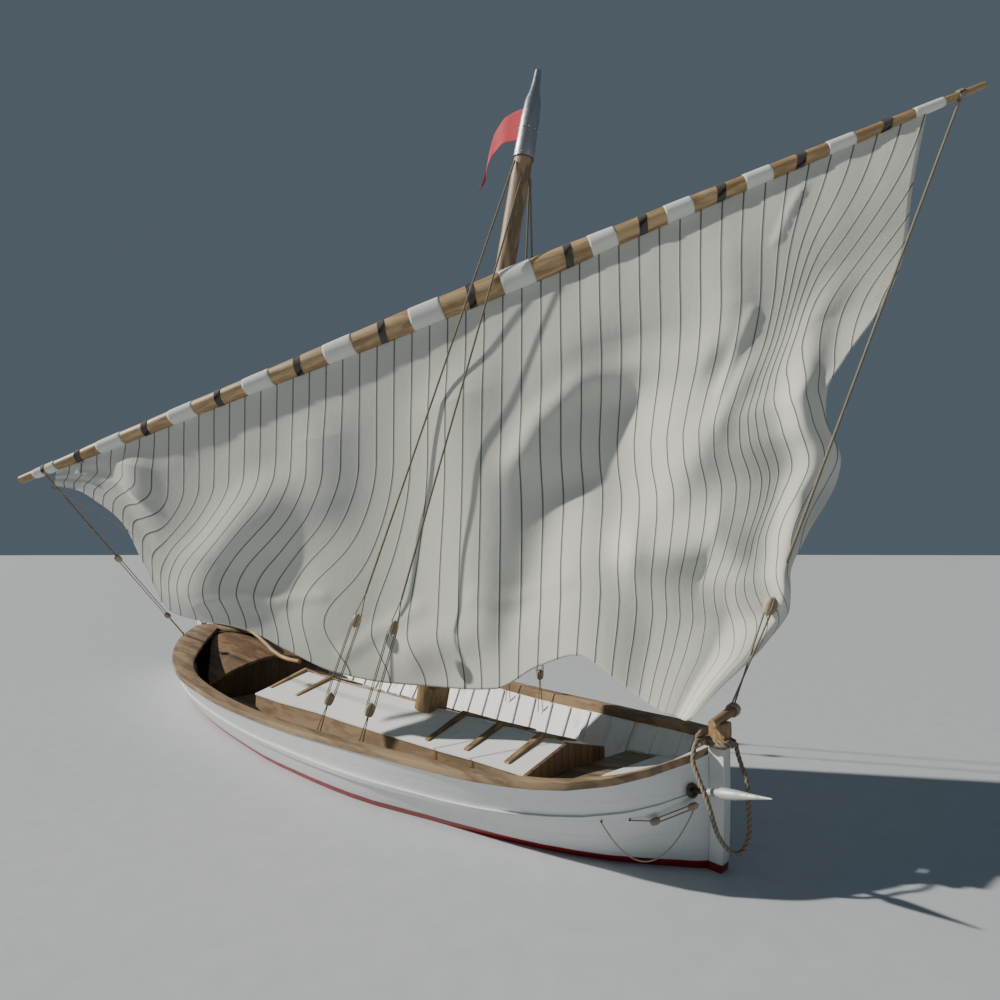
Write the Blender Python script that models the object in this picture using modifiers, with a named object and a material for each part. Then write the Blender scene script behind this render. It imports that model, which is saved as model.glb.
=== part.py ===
import math

import bmesh
import bpy
import numpy as np
from mathutils import Matrix, Vector

# Lengths in metres, bow to +X, port to +Y, up +Z. The boat is laid out from its paint line,
# then raised by boot, so that the origin is amidships at the waterline.

gap = 0.0003            # left between neighbouring pieces
boot = 0.05             # height of the paint line over the water
rabbetZ = -0.42         # where the planking meets the keel
keelBottom = -0.55
postHalf = 0.045        # half thickness of keel, stem and sternpost
sternFoot = -4.22       # x of the stern rabbet at the keel
sternRake = 0.2115      # how far it runs aft for each metre up
sternPostTop = 0.66
wallThick = 0.045       # bulwark thickness at the rail
plankThick = 0.020      # deck planking
deckSlope = 0.04        # fall of the deck from the centreline outwards
soleZ = -0.03           # hull's floor from the stern to the foredeck
waleHeight = 0.042
waleProud = 0.020
railThick = 0.045
railOverhang = 0.012
lipDepth = 0.042        # the rail's inner edge is turned down this far, forward of the cockpit
pocketAft = -3.62       # the hull is open above between these stations, read at the sheer
stepX = 3.345           # the floor steps up to the foredeck here
pocketFore = 4.22
aftDeckX = (-3.46, -1.68)
bulkheadX = -1.80
trunkX = (-0.85, 3.298)
roofThick = 0.014
roofOverhang = 0.010
roofSeat = 0.0040       # under the roof's lower face, whose panels are slightly twisted
mastRake = (1.191, 0.0, 4.70)
mastPoint = (1.709, 0.0, 0.451)
mastHeelZ = -0.28
mastTopZ = 5.151
mastRadius = (0.098, 0.0815)
mastCapLength = 0.724
partnerHalf = 0.105
partnerHeight = 0.215
parrelRing = (0.1056, 0.0153)   # radius of the rope collar's centreline and of the rope
stemHeadZ = (0.655, 0.802)
yardLow = (-1.5055, -2.855, 2.504)
yardHigh = (5.7645, 1.825, 5.181)
sailHeadDrop = 0.0009     # the cloth's edge below the spars
sailWidth = 9.0          # lengths that one unit of share and of drop stand for in the sail's folds
sailDrop = 3.4
rudderTop = 0.86
shroudFootZ = 0.237
hingeSetback = 0.135    # hinge line aft of the stern rabbet
hingeHeights = (-0.30, 0.38)

# x at the sheer, sheer height, half-breadth at the sheer, at the water, at the bilge
stationRows = (
    (-4.44, 0.605, 0.046, 0.046, 0.046),
    (-4.25, 0.600, 0.160, 0.120, 0.080),
    (-3.95, 0.590, 0.330, 0.260, 0.170),
    (-3.50, 0.575, 0.570, 0.450, 0.310),
    (-2.90, 0.545, 0.840, 0.680, 0.500),
    (-2.30, 0.510, 1.060, 0.850, 0.660),
    (-1.60, 0.470, 1.250, 1.000, 0.800),
    (-0.80, 0.425, 1.370, 1.100, 0.900),
    (0.00, 0.390, 1.385, 1.145, 0.950),
    (0.70, 0.370, 1.345, 1.160, 0.970),
    (1.40, 0.363, 1.275, 1.120, 0.930),
    (2.10, 0.375, 1.185, 1.040, 0.840),
    (2.80, 0.400, 1.100, 0.860, 0.660),
    (3.30, 0.417, 1.025, 0.720, 0.520),
    (3.70, 0.445, 0.940, 0.580, 0.390),
    (4.00, 0.475, 0.820, 0.430, 0.270),
    (4.20, 0.510, 0.660, 0.290, 0.170),
    (4.35, 0.550, 0.430, 0.165, 0.100),
    (4.44, 0.585, 0.220, 0.090, 0.065),
    (4.48, 0.610, 0.046, 0.046, 0.046),
)
# height, x of the stem rabbet there
stemRows = ((-0.42, 4.02), (-0.30, 4.25), (-0.10, 4.395), (0.0, 4.425), (0.30, 4.440), (0.62, 4.446))
# station read at the sheer: top of the foredeck on the centreline
deckRows = ((3.20, 0.222), (3.40, 0.230), (3.71, 0.272), (4.22, 0.360))
# lower edge of the wale as a share of the height from the rabbet to the sheer
waleRows = ((-4.44, 0.74), (-2.0, 0.735), (1.0, 0.725), (3.0, 0.690), (3.6, 0.72), (4.0, 0.75), (4.35, 0.775),
            (4.48, 0.79))
# rail width across the boat: station, width
railRows = ((-3.30, 0.42), (-2.50, 0.35), (-1.92, 0.27), (-1.50, 0.206), (-1.04, 0.170), (-0.50, 0.139),
            (0.0, 0.128), (0.70, 0.105), (1.50, 0.095))
# x, half-breadth, eave height, ridge height of the trunk
trunkRows = ((-0.85, 0.58, 0.190, 0.372), (-0.25, 0.555, 0.195, 0.362), (0.45, 0.47, 0.200, 0.366),
             (1.0, 0.45, 0.205, 0.380), (1.5, 0.45, 0.226, 0.393), (2.4, 0.45, 0.266, 0.405),
             (2.8, 0.435, 0.284, 0.408), (3.298, 0.42, 0.295, 0.408))
# x at the ridge, reach to each side, length along the boat at the thick end
battenRows = ((3.10, 0.385, 0.052), (2.66, 0.39, 0.052), (2.20, 0.41, 0.052), (-0.16, 0.41, 0.055),
              (-0.76, 0.44, 0.060))
# station, half-breadth, centre height, edge height of the aft deck
aftDeckRows = ((-3.46, 0.03, 0.590, 0.588), (-3.42, 0.12, 0.589, 0.575), (-3.33, 0.20, 0.585, 0.555),
               (-3.15, 0.30, 0.575, 0.520), (-2.90, 0.405, 0.560, 0.470), (-2.60, 0.51, 0.540, 0.415),
               (-2.25, 0.635, 0.515, 0.345), (-1.95, 0.745, 0.485, 0.275), (-1.68, 0.81, 0.456, 0.215))
# x of the fore and after edge on the centreline: top of the bow platform
platformRows = ((3.50, 0.262), (3.71, 0.292), (3.95, 0.352), (4.10, 0.402), (4.21, 0.452))
# share of the yard, rise above its line, radius of each of the two lashed spars
lowerSpar = ((0.0135, 0.0, 0.040), (0.15, 0.0, 0.065), (0.30, 0.0, 0.078), (0.40, -0.030, 0.065),
             (0.48, -0.056, 0.053), (0.56, -0.060, 0.050), (0.62, -0.064, 0.045))
upperSpar = ((0.40, 0.080, 0.038), (0.48, 0.060, 0.050), (0.56, 0.060, 0.053), (0.62, 0.056, 0.058),
             (0.70, 0.0, 0.078), (0.85, 0.0, 0.056), (1.0, 0.0, 0.024))
# side, height on the mast, degrees forward of abeam there, foot x, foot y without its sign
shroudRows = ((-1, 5.10, 5, 1.58, 1.118), (-1, 4.98, 62, 2.115, 1.046),
              (1, 5.10, 5, 1.58, 1.118), (1, 4.98, 62, 2.115, 1.046))
# share of the shroud from the mast, radius: rope, upper block, fall, lower block, strop
shroudProfile = ((0.0, 0.009), (0.777, 0.009), (0.7795, 0.024), (0.784, 0.034), (0.790, 0.037), (0.796, 0.034),
                 (0.8005, 0.024), (0.803, 0.008), (0.9085, 0.008), (0.911, 0.024), (0.915, 0.034),
                 (0.920, 0.037), (0.926, 0.034), (0.930, 0.024), (0.933, 0.008), (1.0, 0.008))
# share of the yard, foot of the sail below it: x, y, z
footRows = (
    (0.060, -1.06, -2.57, 2.47), (0.090, -0.83, -2.42, 2.42), (0.120, -0.61, -2.27, 2.29),
    (0.150, -0.37, -2.12, 2.10), (0.180, -0.13, -1.97, 1.68), (0.210, 0.11, -1.82, 1.29),
    (0.250, 0.40, -1.63, 1.20), (0.300, 0.77, -1.41, 1.15), (0.350, 1.15, -1.18, 0.98),
    (0.410, 1.60, -0.93, 0.81), (0.470, 2.06, -0.70, 0.76), (0.530, 2.56, -0.51, 0.77),
    (0.580, 2.97, -0.39, 0.81), (0.620, 3.30, -0.30, 1.00), (0.660, 3.62, -0.23, 1.11),
    (0.700, 3.88, -0.18, 0.98), (0.740, 4.06, -0.14, 0.87), (0.800, 4.22, -0.11, 0.80),
    (0.880, 4.31, -0.095, 0.79), (0.957, 4.36, -0.085, 0.80))
# free edge from the clew up to the yard: height, x, y
leechRows = ((0.80, 4.36, -0.085), (0.97, 4.47, 0.06), (1.25, 4.67, 0.30), (1.48, 4.76, 0.43), (1.65, 4.76, 0.43),
             (1.89, 4.83, 0.55), (2.28, 4.97, 0.79), (2.42, 4.99, 0.82), (2.70, 4.94, 0.73), (2.86, 4.95, 0.74),
             (3.10, 5.03, 0.88), (3.58, 5.22, 1.23), (3.97, 5.31, 1.39), (4.42, 5.36, 1.47), (5.03, 5.45, 1.62))
# folds of the sail: half width, height to starboard, and the fold's line as shares of the yard and of the drop
foldRows = (
    (0.22, 0.050, ((0.165, 0.10), (0.170, 0.50))),
    (0.34, 0.120, ((0.335, 0.45), (0.295, 0.60), (0.262, 0.72), (0.250, 0.86))),
    (0.30, -0.070, ((0.350, 0.70), (0.340, 0.92))),
    (0.30, 0.045, ((0.385, 0.20), (0.395, 0.44))),
    (0.36, 0.060, ((0.545, 0.22), (0.555, 0.50), (0.560, 0.74))),
    (0.62, -0.160, ((0.700, 0.47), (0.715, 0.62))),
    (0.24, 0.050, ((0.795, 0.14), (0.800, 0.30))),
    (0.16, 0.085, ((0.901, 0.264), (0.885, 0.350), (0.914, 0.482), (0.930, 0.590), (0.910, 0.662), (0.926, 0.729),
                   (0.946, 0.799))),
    (0.17, 0.110, ((0.716, 0.735), (0.804, 0.716), (0.869, 0.776), (0.937, 0.816))),
    (0.22, 0.050, ((0.500, 0.90), (0.565, 0.86))))
# along the pennant from the mast: y, upper edge x and z, lower edge x and z
pennantRows = ((0.0, 2.9346, 5.602, 2.8626, 5.350), (-0.012, 2.82, 5.625, 2.775, 5.372),
               (-0.020, 2.71, 5.628, 2.690, 5.395), (-0.012, 2.62, 5.605, 2.605, 5.402),
               (0.0, 2.548, 5.578, 2.525, 5.388), (0.012, 2.480, 5.475, 2.455, 5.320),
               (0.016, 2.425, 5.340, 2.405, 5.235), (0.012, 2.385, 5.225, 2.370, 5.160),
               (0.0, 2.352, 5.112, 2.346, 5.092))


def clearScene():
    for obj in list(bpy.data.objects):
        bpy.data.objects.remove(obj, do_unlink=True)


def newCollection(name):
    col = bpy.data.collections.new(name)
    bpy.context.scene.collection.children.link(col)
    return col


def material(name, color, rough, metal=0.0):
    mat = bpy.data.materials.new(name)
    mat.use_nodes = True
    shader = mat.node_tree.nodes["Principled BSDF"]
    shader.inputs["Base Color"].default_value = (*color, 1.0)
    shader.inputs["Roughness"].default_value = rough
    shader.inputs["Metallic"].default_value = metal
    return mat


def place(obj, name, finish, cutter=False):
    obj.name = name
    obj.data.name = name
    for col in list(obj.users_collection):
        col.objects.unlink(obj)
    if cutter:
        cutters.objects.link(obj)
        obj.hide_render = True
        obj.display_type = "WIRE"
        return obj
    boat.objects.link(obj)
    obj.data.materials.clear()
    color, rough, metal = finish
    obj.data.materials.append(material(name, color, rough, metal))
    return obj


def meshObject(name, verts, faces, finish, cutter=False):
    mesh = bpy.data.meshes.new(name)
    mesh.from_pydata([tuple(float(c) for c in v) for v in verts], [], faces)
    bm = bmesh.new()
    bm.from_mesh(mesh)
    bmesh.ops.recalc_face_normals(bm, faces=bm.faces)
    bm.to_mesh(mesh)
    bm.free()
    obj = bpy.data.objects.new(name, mesh)
    bpy.context.scene.collection.objects.link(obj)
    return place(obj, name, finish, cutter)


def loft(name, rings, finish, cutter=False):
    # closed rings of equal length, joined in order, both ends capped
    n = len(rings[0])
    verts = [p for ring in rings for p in ring]
    faces = []
    for i in range(len(rings) - 1):
        for j in range(n):
            k = (j + 1) % n
            faces.append((i * n + j, i * n + k, (i + 1) * n + k, (i + 1) * n + j))
    faces.append(tuple(range(n)))
    faces.append(tuple((len(rings) - 1) * n + j for j in range(n)))
    return meshObject(name, verts, faces, finish, cutter)


def setModifier(obj, kind, **values):
    mod = obj.modifiers.new(kind.title(), kind)
    for key, value in values.items():
        setattr(mod, key, value)
    return mod


def cut(obj, tool, operation="DIFFERENCE"):
    setModifier(obj, "BOOLEAN", object=tool, operation=operation, solver="EXACT")


def rod(name, start, end, radii, finish, sides=20, cutter=False):
    a, b = Vector(start), Vector(end)
    bm = bmesh.new()
    bmesh.ops.create_cone(bm, cap_ends=True, segments=sides, radius1=radii[0], radius2=radii[1],
                          depth=(b - a).length)
    turn = Vector((0, 0, 1)).rotation_difference(b - a).to_matrix().to_4x4()
    bmesh.ops.transform(bm, matrix=Matrix.Translation((a + b) / 2) @ turn, verts=bm.verts)
    mesh = bpy.data.meshes.new(name)
    bm.to_mesh(mesh)
    bm.free()
    obj = bpy.data.objects.new(name, mesh)
    bpy.context.scene.collection.objects.link(obj)
    return place(obj, name, finish, cutter)


def outline(name, points, half, finish, bevel=0.0):
    # flat outline in the X-Z plane, extruded to both sides of y = 0
    curve = bpy.data.curves.new(name, "CURVE")
    curve.dimensions = "2D"
    curve.fill_mode = "BOTH"
    curve.extrude = half
    spline = curve.splines.new("POLY")
    spline.points.add(len(points) - 1)
    for point, (x, z) in zip(spline.points, points):
        point.co = (x, z, 0, 1)
    spline.use_cyclic_u = True
    flat = bpy.data.objects.new(name + "_outline", curve)
    bpy.context.scene.collection.objects.link(flat)
    mesh = bpy.data.meshes.new_from_object(flat)
    bpy.data.objects.remove(flat, do_unlink=True)
    bm = bmesh.new()
    bm.from_mesh(mesh)
    bmesh.ops.remove_doubles(bm, verts=bm.verts, dist=1e-6)
    bmesh.ops.rotate(bm, cent=(0, 0, 0), matrix=Matrix.Rotation(math.radians(90), 3, "X"), verts=bm.verts)
    bmesh.ops.recalc_face_normals(bm, faces=bm.faces)
    bm.to_mesh(mesh)
    bm.free()
    obj = bpy.data.objects.new(name, mesh)
    bpy.context.scene.collection.objects.link(obj)
    place(obj, name, finish)
    if bevel:
        setModifier(obj, "BEVEL", width=bevel, segments=2, limit_method="ANGLE")
    return obj


def tube(name, points, radius, finish, resolution=4):
    curve = bpy.data.curves.new(name, "CURVE")
    curve.dimensions = "3D"
    curve.bevel_depth = radius
    curve.bevel_resolution = resolution
    curve.use_fill_caps = True
    spline = curve.splines.new("POLY")
    spline.points.add(len(points) - 1)
    for point, co in zip(spline.points, points):
        point.co = (*co, 1)
    line = bpy.data.objects.new(name + "_line", curve)
    bpy.context.scene.collection.objects.link(line)
    mesh = bpy.data.meshes.new_from_object(line)
    bpy.data.objects.remove(line, do_unlink=True)
    bm = bmesh.new()
    bm.from_mesh(mesh)
    bmesh.ops.remove_doubles(bm, verts=bm.verts, dist=1e-6)
    bmesh.ops.recalc_face_normals(bm, faces=bm.faces)
    bm.to_mesh(mesh)
    bm.free()
    obj = bpy.data.objects.new(name, mesh)
    bpy.context.scene.collection.objects.link(obj)
    return place(obj, name, finish)


def smooth(value, xs, ys):
    # cubic through the table points, slopes limited so that it never overshoots
    xs = np.asarray(xs, float)
    ys = np.asarray(ys, float)
    value = np.clip(np.asarray(value, float), xs[0], xs[-1])
    step = np.diff(xs)
    rise = np.diff(ys) / step
    slope = np.zeros(len(xs))
    inner = rise[:-1] * rise[1:] > 0
    slope[1:-1][inner] = 2 / (1 / rise[:-1][inner] + 1 / rise[1:][inner])
    slope[0] = rise[0]
    slope[-1] = rise[-1]
    i = np.clip(np.searchsorted(xs, value) - 1, 0, len(xs) - 2)
    t = (value - xs[i]) / step[i]
    first = (2 * t**3 - 3 * t**2 + 1) * ys[i] + (t**3 - 2 * t**2 + t) * step[i] * slope[i]
    return first + (3 * t**2 - 2 * t**3) * ys[i + 1] + (t**3 - t**2) * step[i] * slope[i + 1]


columns = list(zip(*stationRows))
skinRows = 13


def sheerZ(x):
    return float(smooth(x, columns[0], columns[1]))


def sheerY(x):
    return float(smooth(x, columns[0], columns[2]))


def sternX(z):
    return sternFoot - sternRake * (z - rabbetZ)


def bowX(z):
    heights, xs = zip(*stemRows)
    return float(smooth(z, heights, xs))


def skewX(x, z):
    # moves a station read at the sheer to its place at height z between the raked ends
    part = (x - columns[0][0]) / (columns[0][-1] - columns[0][0])
    return sternX(z) + part * (bowX(z) - sternX(z))


def skinY(x, z):
    top, sheer, water, bilge = (float(smooth(x, columns[0], columns[k])) for k in (1, 2, 3, 4))
    return float(smooth(z, (rabbetZ, -0.36, -0.22, 0.0, top), (postHalf, postHalf + (bilge - postHalf) * 0.62,
                                                               bilge, water, sheer)))


def stationXs():
    part = np.linspace(0, 1, 40)
    even = 0.6 * part + 0.4 * (0.5 - 0.5 * np.cos(math.pi * part))
    first, last = columns[0][0], columns[0][-1]
    walls = {pocketAft, pocketAft - 0.02, stepX, stepX - 0.012, pocketFore, pocketFore + 0.02, last - 0.035}
    kept = [x for x in first + (last - first) * even if min(abs(x - wall) for wall in walls) > 0.03]
    return sorted(set(kept) | walls)


def tableValue(rows, x, column=1):
    keys = [row[0] for row in rows]
    return float(smooth(x, keys, [row[column] for row in rows]))


def skinPoint(x, row):
    # row 0 to 7 below the wale, 8 and 9 its face, 10 to 12 above it
    low = tableValue(waleRows, x)
    top = sheerZ(x)
    high = low + waleHeight / (top - rabbetZ)
    shares = [low * k for k in (0.0, 0.07, 0.18, 0.34, 0.50, 0.66, 0.83, 1.0)]
    shares += [low + 0.004, high - 0.004, high, (1 + high) / 2, 1.0]
    z = rabbetZ + shares[row] * (top - rabbetZ)
    y = skinY(x, z)
    if row in (8, 9):
        y += waleProud * min(1.0, (y - postHalf) / 0.08)
    return skewX(x, z), y, z


def deckTop(x, y=0.0):
    return tableValue(deckRows, x) - deckSlope * abs(y)


def wallPoints(x):
    # head and foot of the bulwark's inner face
    top = sheerZ(x)
    head = (skewX(x, top), sheerY(x) - wallThick, top)
    if x < stepX:
        return head, (skewX(x, soleZ), skinY(x, soleZ) - wallThick - 0.01, soleZ)
    base = deckTop(x) - plankThick
    low = skinY(x, base - 0.04) - wallThick - 0.01
    return head, (skewX(x, base), low, base - deckSlope * low)


def hullRing(x):
    half = [skinPoint(x, row) for row in range(skinRows)]
    sheer = half[-1][1]
    top = sheerZ(x)
    if pocketAft <= x <= pocketFore:
        head, foot = wallPoints(x)
        base = foot[2] if x < stepX else deckTop(x) - plankThick
        half += [head] + [(foot[0], foot[1] * k, base + (foot[2] - base) * k) for k in (1.0, 0.7, 0.35)]
        middle = (foot[0], 0.0, base)
    else:
        half += [(skewX(x, top), sheer * k, top) for k in (0.75, 0.5, 0.3, 0.15)]
        middle = (skewX(x, top), 0.0, top)
    return half + [middle] + [(a, -b, c) for a, b, c in reversed(half)]


def makeHull():
    rings = [hullRing(x) for x in stationXs()]
    n = len(rings[0])
    verts = [p for ring in rings for p in ring]
    faces = []
    for i in range(len(rings) - 1):
        for j in range(n):
            k = (j + 1) % n
            faces.append((i * n + j, i * n + k, (i + 1) * n + k, (i + 1) * n + j))
    for base in (0, (len(rings) - 1) * n):
        for j in range(skinRows - 2):
            faces.append((base + j, base + j + 1, base + n - 2 - j, base + n - 1 - j))
        faces.append(tuple(base + j for j in range(skinRows - 2, n - skinRows + 2)))
    return meshObject("hull", verts, faces, white)


def railInner(x):
    return max(sheerY(x) + railOverhang - tableValue(railRows, x), 0.0015)


def wallLean(x):
    # how far the bulwark's inner face comes inboard for each metre down
    head, foot = wallPoints(min(x, pocketFore))
    return (head[1] - foot[1]) / (head[2] - foot[2])


def lipAt(x):
    full = lipDepth * float(np.interp(x, (-1.0, -0.55, 3.95, 4.15), (0.0, 1.0, 1.0, 0.0)))
    room = sheerY(x) - wallThick - 0.014 - railInner(x)
    return max(0.0, min(full, room / max(wallLean(x), 0.01)))


def makeRail(side, name):
    def section(x):
        outer, inner = sheerY(x) + railOverhang, railInner(x)
        low = sheerZ(x) + gap
        deep = lipAt(x)
        back = inner + 0.024
        if deep > 0:
            back = min(back, sheerY(x) - wallThick - wallLean(x) * deep - 0.004)
        half = [(outer, low), (outer, low + railThick), (inner, low + railThick), (inner, low - deep),
                (back, low - deep), (back, low)]
        px = skewX(x, low)
        return [(px, side * y, z) for y, z in half]
    xs = [x for x in stationXs() if x > -4.43][:-1] + [columns[0][-1] - 0.012]
    rail = loft(name, [section(x) for x in xs], wood)
    setModifier(rail, "BEVEL", width=0.006, segments=2, limit_method="ANGLE", angle_limit=math.radians(50))
    return rail


def frameXs():
    return np.arange(3.82, -3.35, -0.262)[::-1]


def makeFrames(side, name, aft, fore):
    # thin lining with one rib standing out of it at each frame, laid on the lofted wall
    rib, thin, deep, off = 0.020, 0.009, 0.030, 0.0095
    stations = stationXs()
    middles = [x for x in frameXs() if aft + 0.04 < x < fore - 0.04]
    edges = [(aft, thin), (fore, thin)]
    for middle in middles:
        edges += [(middle - rib - 0.003, thin), (middle - rib, deep), (middle + rib, deep),
                  (middle + rib + 0.003, thin), (middle + 0.08, thin), (middle + 0.13, thin), (middle + 0.18, thin)]
    edges = [(x, out) for x, out in edges if aft <= x <= fore]
    edges += [(x, thin) for x in stations if aft + 0.01 < x < fore - 0.01
              and min(abs(x - middle) for middle in middles) > rib + 0.006]

    def section(x, out):
        after = next(i for i, station in enumerate(stations) if station > x)
        a, b = stations[after - 1], stations[after]
        share = (x - a) / (b - a)
        head, foot = (Vector(p).lerp(Vector(q), share) for p, q in zip(wallPoints(a), wallPoints(b)))
        height = head.z - foot.z
        high = head.lerp(foot, (lipAt(x) + 0.0003) / height)
        low = head.lerp(foot, 1 - 0.030 / height)
        return [(p.x, side * (p.y - y), p.z) for p, y in ((high, off), (low, off), (low, off + out),
                                                         (high, off + out))]
    return loft(name, [section(x, out) for x, out in sorted(edges)], white)


def deckEdge(x):
    if x < stepX:
        return skinY(x, soleZ) - wallThick - 0.026
    return skinY(x, deckTop(x) - plankThick - 0.04) - wallThick - 0.014


def makeMainDeck():
    # sole boards from the bulkhead to the foredeck
    low, high = soleZ + gap, soleZ + plankThick

    def ring(x):
        px, edge = skewX(x, soleZ), deckEdge(x)
        return [(px, -edge, low), (px, edge, low), (px, edge, high), (px, -edge, high)]
    xs = [x for x in stationXs() if bulkheadX + 0.06 < x < stepX - 0.05]
    return loft("main_deck", [ring(x) for x in [bulkheadX + 0.02] + xs + [stepX - 0.016]], deckWood)


def deckStations():
    # world x of the foredeck's sections, height of the planking's top there
    xs = [stepX + 0.002] + [x for x in stationXs() if stepX + 0.02 < x < pocketFore - 0.02] + [pocketFore - 0.004]
    return [(x, skewX(x, deckTop(x) - plankThick), deckTop(x)) for x in xs]


def deckAt(px, y=0.0):
    rows = deckStations()
    return float(np.interp(px, [row[1] for row in rows], [row[2] for row in rows])) - deckSlope * abs(y)


def makeForedeck():
    def ring(x, px, top):
        edge = deckEdge(x)
        low = top - plankThick + gap
        half = [(edge, low - deckSlope * edge), (edge, top - deckSlope * edge)]
        return ([(px, y, z) for y, z in half] + [(px, 0.0, top)] + [(px, -y, z) for y, z in reversed(half)]
                + [(px, 0.0, low)])
    return loft("foredeck", [ring(*row) for row in deckStations()], deckWood)


def trunkHalf(x):
    return float(np.interp(x, [row[0] for row in trunkRows], [row[1] for row in trunkRows]))


def roofZ(x, y):
    eave, ridge = (float(np.interp(x, [row[0] for row in trunkRows], [row[k] for row in trunkRows])) for k in (2, 3))
    return ridge + (eave - ridge) * min(1.0, abs(y) / trunkHalf(x))


def trunkXs():
    under = {x for row in battenRows for x in (row[0], row[0] - row[2])}
    even = {float(x) for x in np.linspace(trunkX[0], trunkX[1], 25)}
    return sorted(under | even | {row[0] for row in trunkRows})


def makeTrunk():
    foot = soleZ + plankThick + gap

    def ring(x):
        w = trunkHalf(x)
        return [(x, w, foot), (x, w, roofZ(x, w) - roofThick - roofSeat), (x, 0, roofZ(x, 0) - roofThick - roofSeat),
                (x, -w, roofZ(x, w) - roofThick - roofSeat), (x, -w, foot)]
    return loft("trunk", [ring(x) for x in trunkXs()], deckWood)


def makeRoof():
    def ring(x):
        w = trunkHalf(x)
        out = w + roofOverhang
        fall = (roofZ(x, 0) - roofZ(x, w)) / w * roofOverhang
        top = [(x, out, roofZ(x, w) - fall), (x, 0, roofZ(x, 0)), (x, -out, roofZ(x, w) - fall)]
        return top + [(px, y, z - roofThick) for px, y, z in reversed(top)]
    return loft("roof", [ring(x) for x in trunkXs()], white)


def makeFascia():
    w = trunkHalf(trunkX[1]) + 0.024
    face = trunkX[1] + gap

    def ring(x):
        low = deckAt(x, w) + 0.0012
        return [(x, w, low), (x, w, roofZ(x, w) + 0.004), (x, 0, roofZ(x, 0) + 0.012), (x, -w, roofZ(x, w) + 0.004),
                (x, -w, low), (x, 0, deckAt(x) + 0.0012)]
    return loft("trunk_fascia", [ring(face), ring(face + 0.032)], wood)


def makeBatten(index, x, reach, long):
    # one chevron wedge over the ridge, thick at the ridge and thin at its tips
    thin, thick = 0.014, 0.036
    verts = []
    for y, lift in ((reach, thin), (0.0, thick), (-reach, thin)):
        base = max(roofZ(x, y), roofZ(x - long, y)) + 0.0006
        verts += [(x, y, base), (x, y, base + lift), (x - long, y, base + lift), (x - long, y, base)]
    faces = [(0, 1, 2, 3), (8, 9, 10, 11)]
    for i in (0, 4):
        for j in range(4):
            k = (j + 1) % 4
            faces.append((i + j, i + k, i + 4 + k, i + 4 + j))
    return meshObject("roof_batten_%d" % index, verts, faces, wood)


def makePlatform():
    def ring(x):
        px = skewX(x, deckTop(x) - plankThick)
        edge = deckEdge(x) - 0.012
        if x < 3.72:
            edge = min(edge, 0.10 + 4.0 * (x - 3.50))
        low = 0.0006
        top = tableValue(platformRows, x)
        side = max(top - 0.05 * edge, deckAt(px, edge) + 0.012)
        return [(px, edge, deckAt(px, edge) + low), (px, edge, side), (px, 0, max(top, side)), (px, -edge, side),
                (px, -edge, deckAt(px, edge) + low), (px, 0, deckAt(px) + low)]
    xs = [x for x in stationXs() if 3.70 < x < pocketFore - 0.006]
    return loft("bow_platform", [ring(x) for x in [3.69] + xs + [pocketFore - 0.006]], white)


def makeAftDeck():
    # cambered panel, its edge held clear of the rail all round
    def ring(x):
        half, centre, edge = (tableValue(aftDeckRows, x, k) for k in (1, 2, 3))
        side = [(half * k, centre + (edge - centre) * k**1.7) for k in (1.0, 0.8, 0.6, 0.4, 0.2)]
        top = side + [(0.0, centre)] + [(-y, z) for y, z in reversed(side)]
        thick = 0.034
        return [(x, y, z) for y, z in top] + [(x, y, z - thick) for y, z in reversed(top)]
    xs = [row[0] for row in aftDeckRows]
    fine = sorted(set(xs) | set(np.linspace(aftDeckX[0], aftDeckX[1], 12)))
    return loft("aft_deck", [ring(x) for x in fine], deckWood)


def makeBulkhead():
    # closes the space under the aft deck, its top following the camber
    limit = 0.86
    ys = np.linspace(-limit, limit, 19)
    half, centre, edge = (tableValue(aftDeckRows, bulkheadX, k) for k in (1, 2, 3))

    def top(y):
        k = abs(y) / half
        return min(centre + (edge - centre) * k**1.7, edge if k > 1 else 9) - 0.0370
    foot = soleZ + gap
    points = [(y, top(y)) for y in ys]
    verts, n = [], len(points)
    for x in (bulkheadX, bulkheadX - 0.03):
        verts += [(x, y, z) for y, z in points] + [(x, y * 0.99, foot) for y, z in reversed(points)]
    faces = []
    for i in range(n - 1):
        a, b = i, i + 1
        c, d = 2 * n - 2 - i, 2 * n - 1 - i
        faces += [(a, b, c, d), (2 * n + a, 2 * n + d, 2 * n + c, 2 * n + b), (a, 2 * n + a, 2 * n + b, b),
                  (d, c, 2 * n + c, 2 * n + d)]
    faces += [(0, 2 * n - 1, 4 * n - 1, 2 * n), (n - 1, 3 * n - 1, 3 * n, n)]
    return meshObject("aft_bulkhead", verts, faces, darkWood)


def mastAxis():
    return Vector(mastRake).normalized()


def onMast(z):
    p = Vector(mastPoint)
    return p + mastAxis() * ((z - p.z) / mastAxis().z)


def makeMast():
    rod("mast", onMast(mastHeelZ), onMast(mastTopZ), mastRadius, spar, 24)
    high = onMast(1.2)
    length = (onMast(mastTopZ) - onMast(mastHeelZ)).length
    part = (high - onMast(mastHeelZ)).length / length
    wide = mastRadius[0] + (mastRadius[1] - mastRadius[0]) * part
    return rod("mast_bore", onMast(mastHeelZ - gap), high, (mastRadius[0] + gap * 2, wide + gap * 2), None, 24,
               cutter=True)


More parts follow.
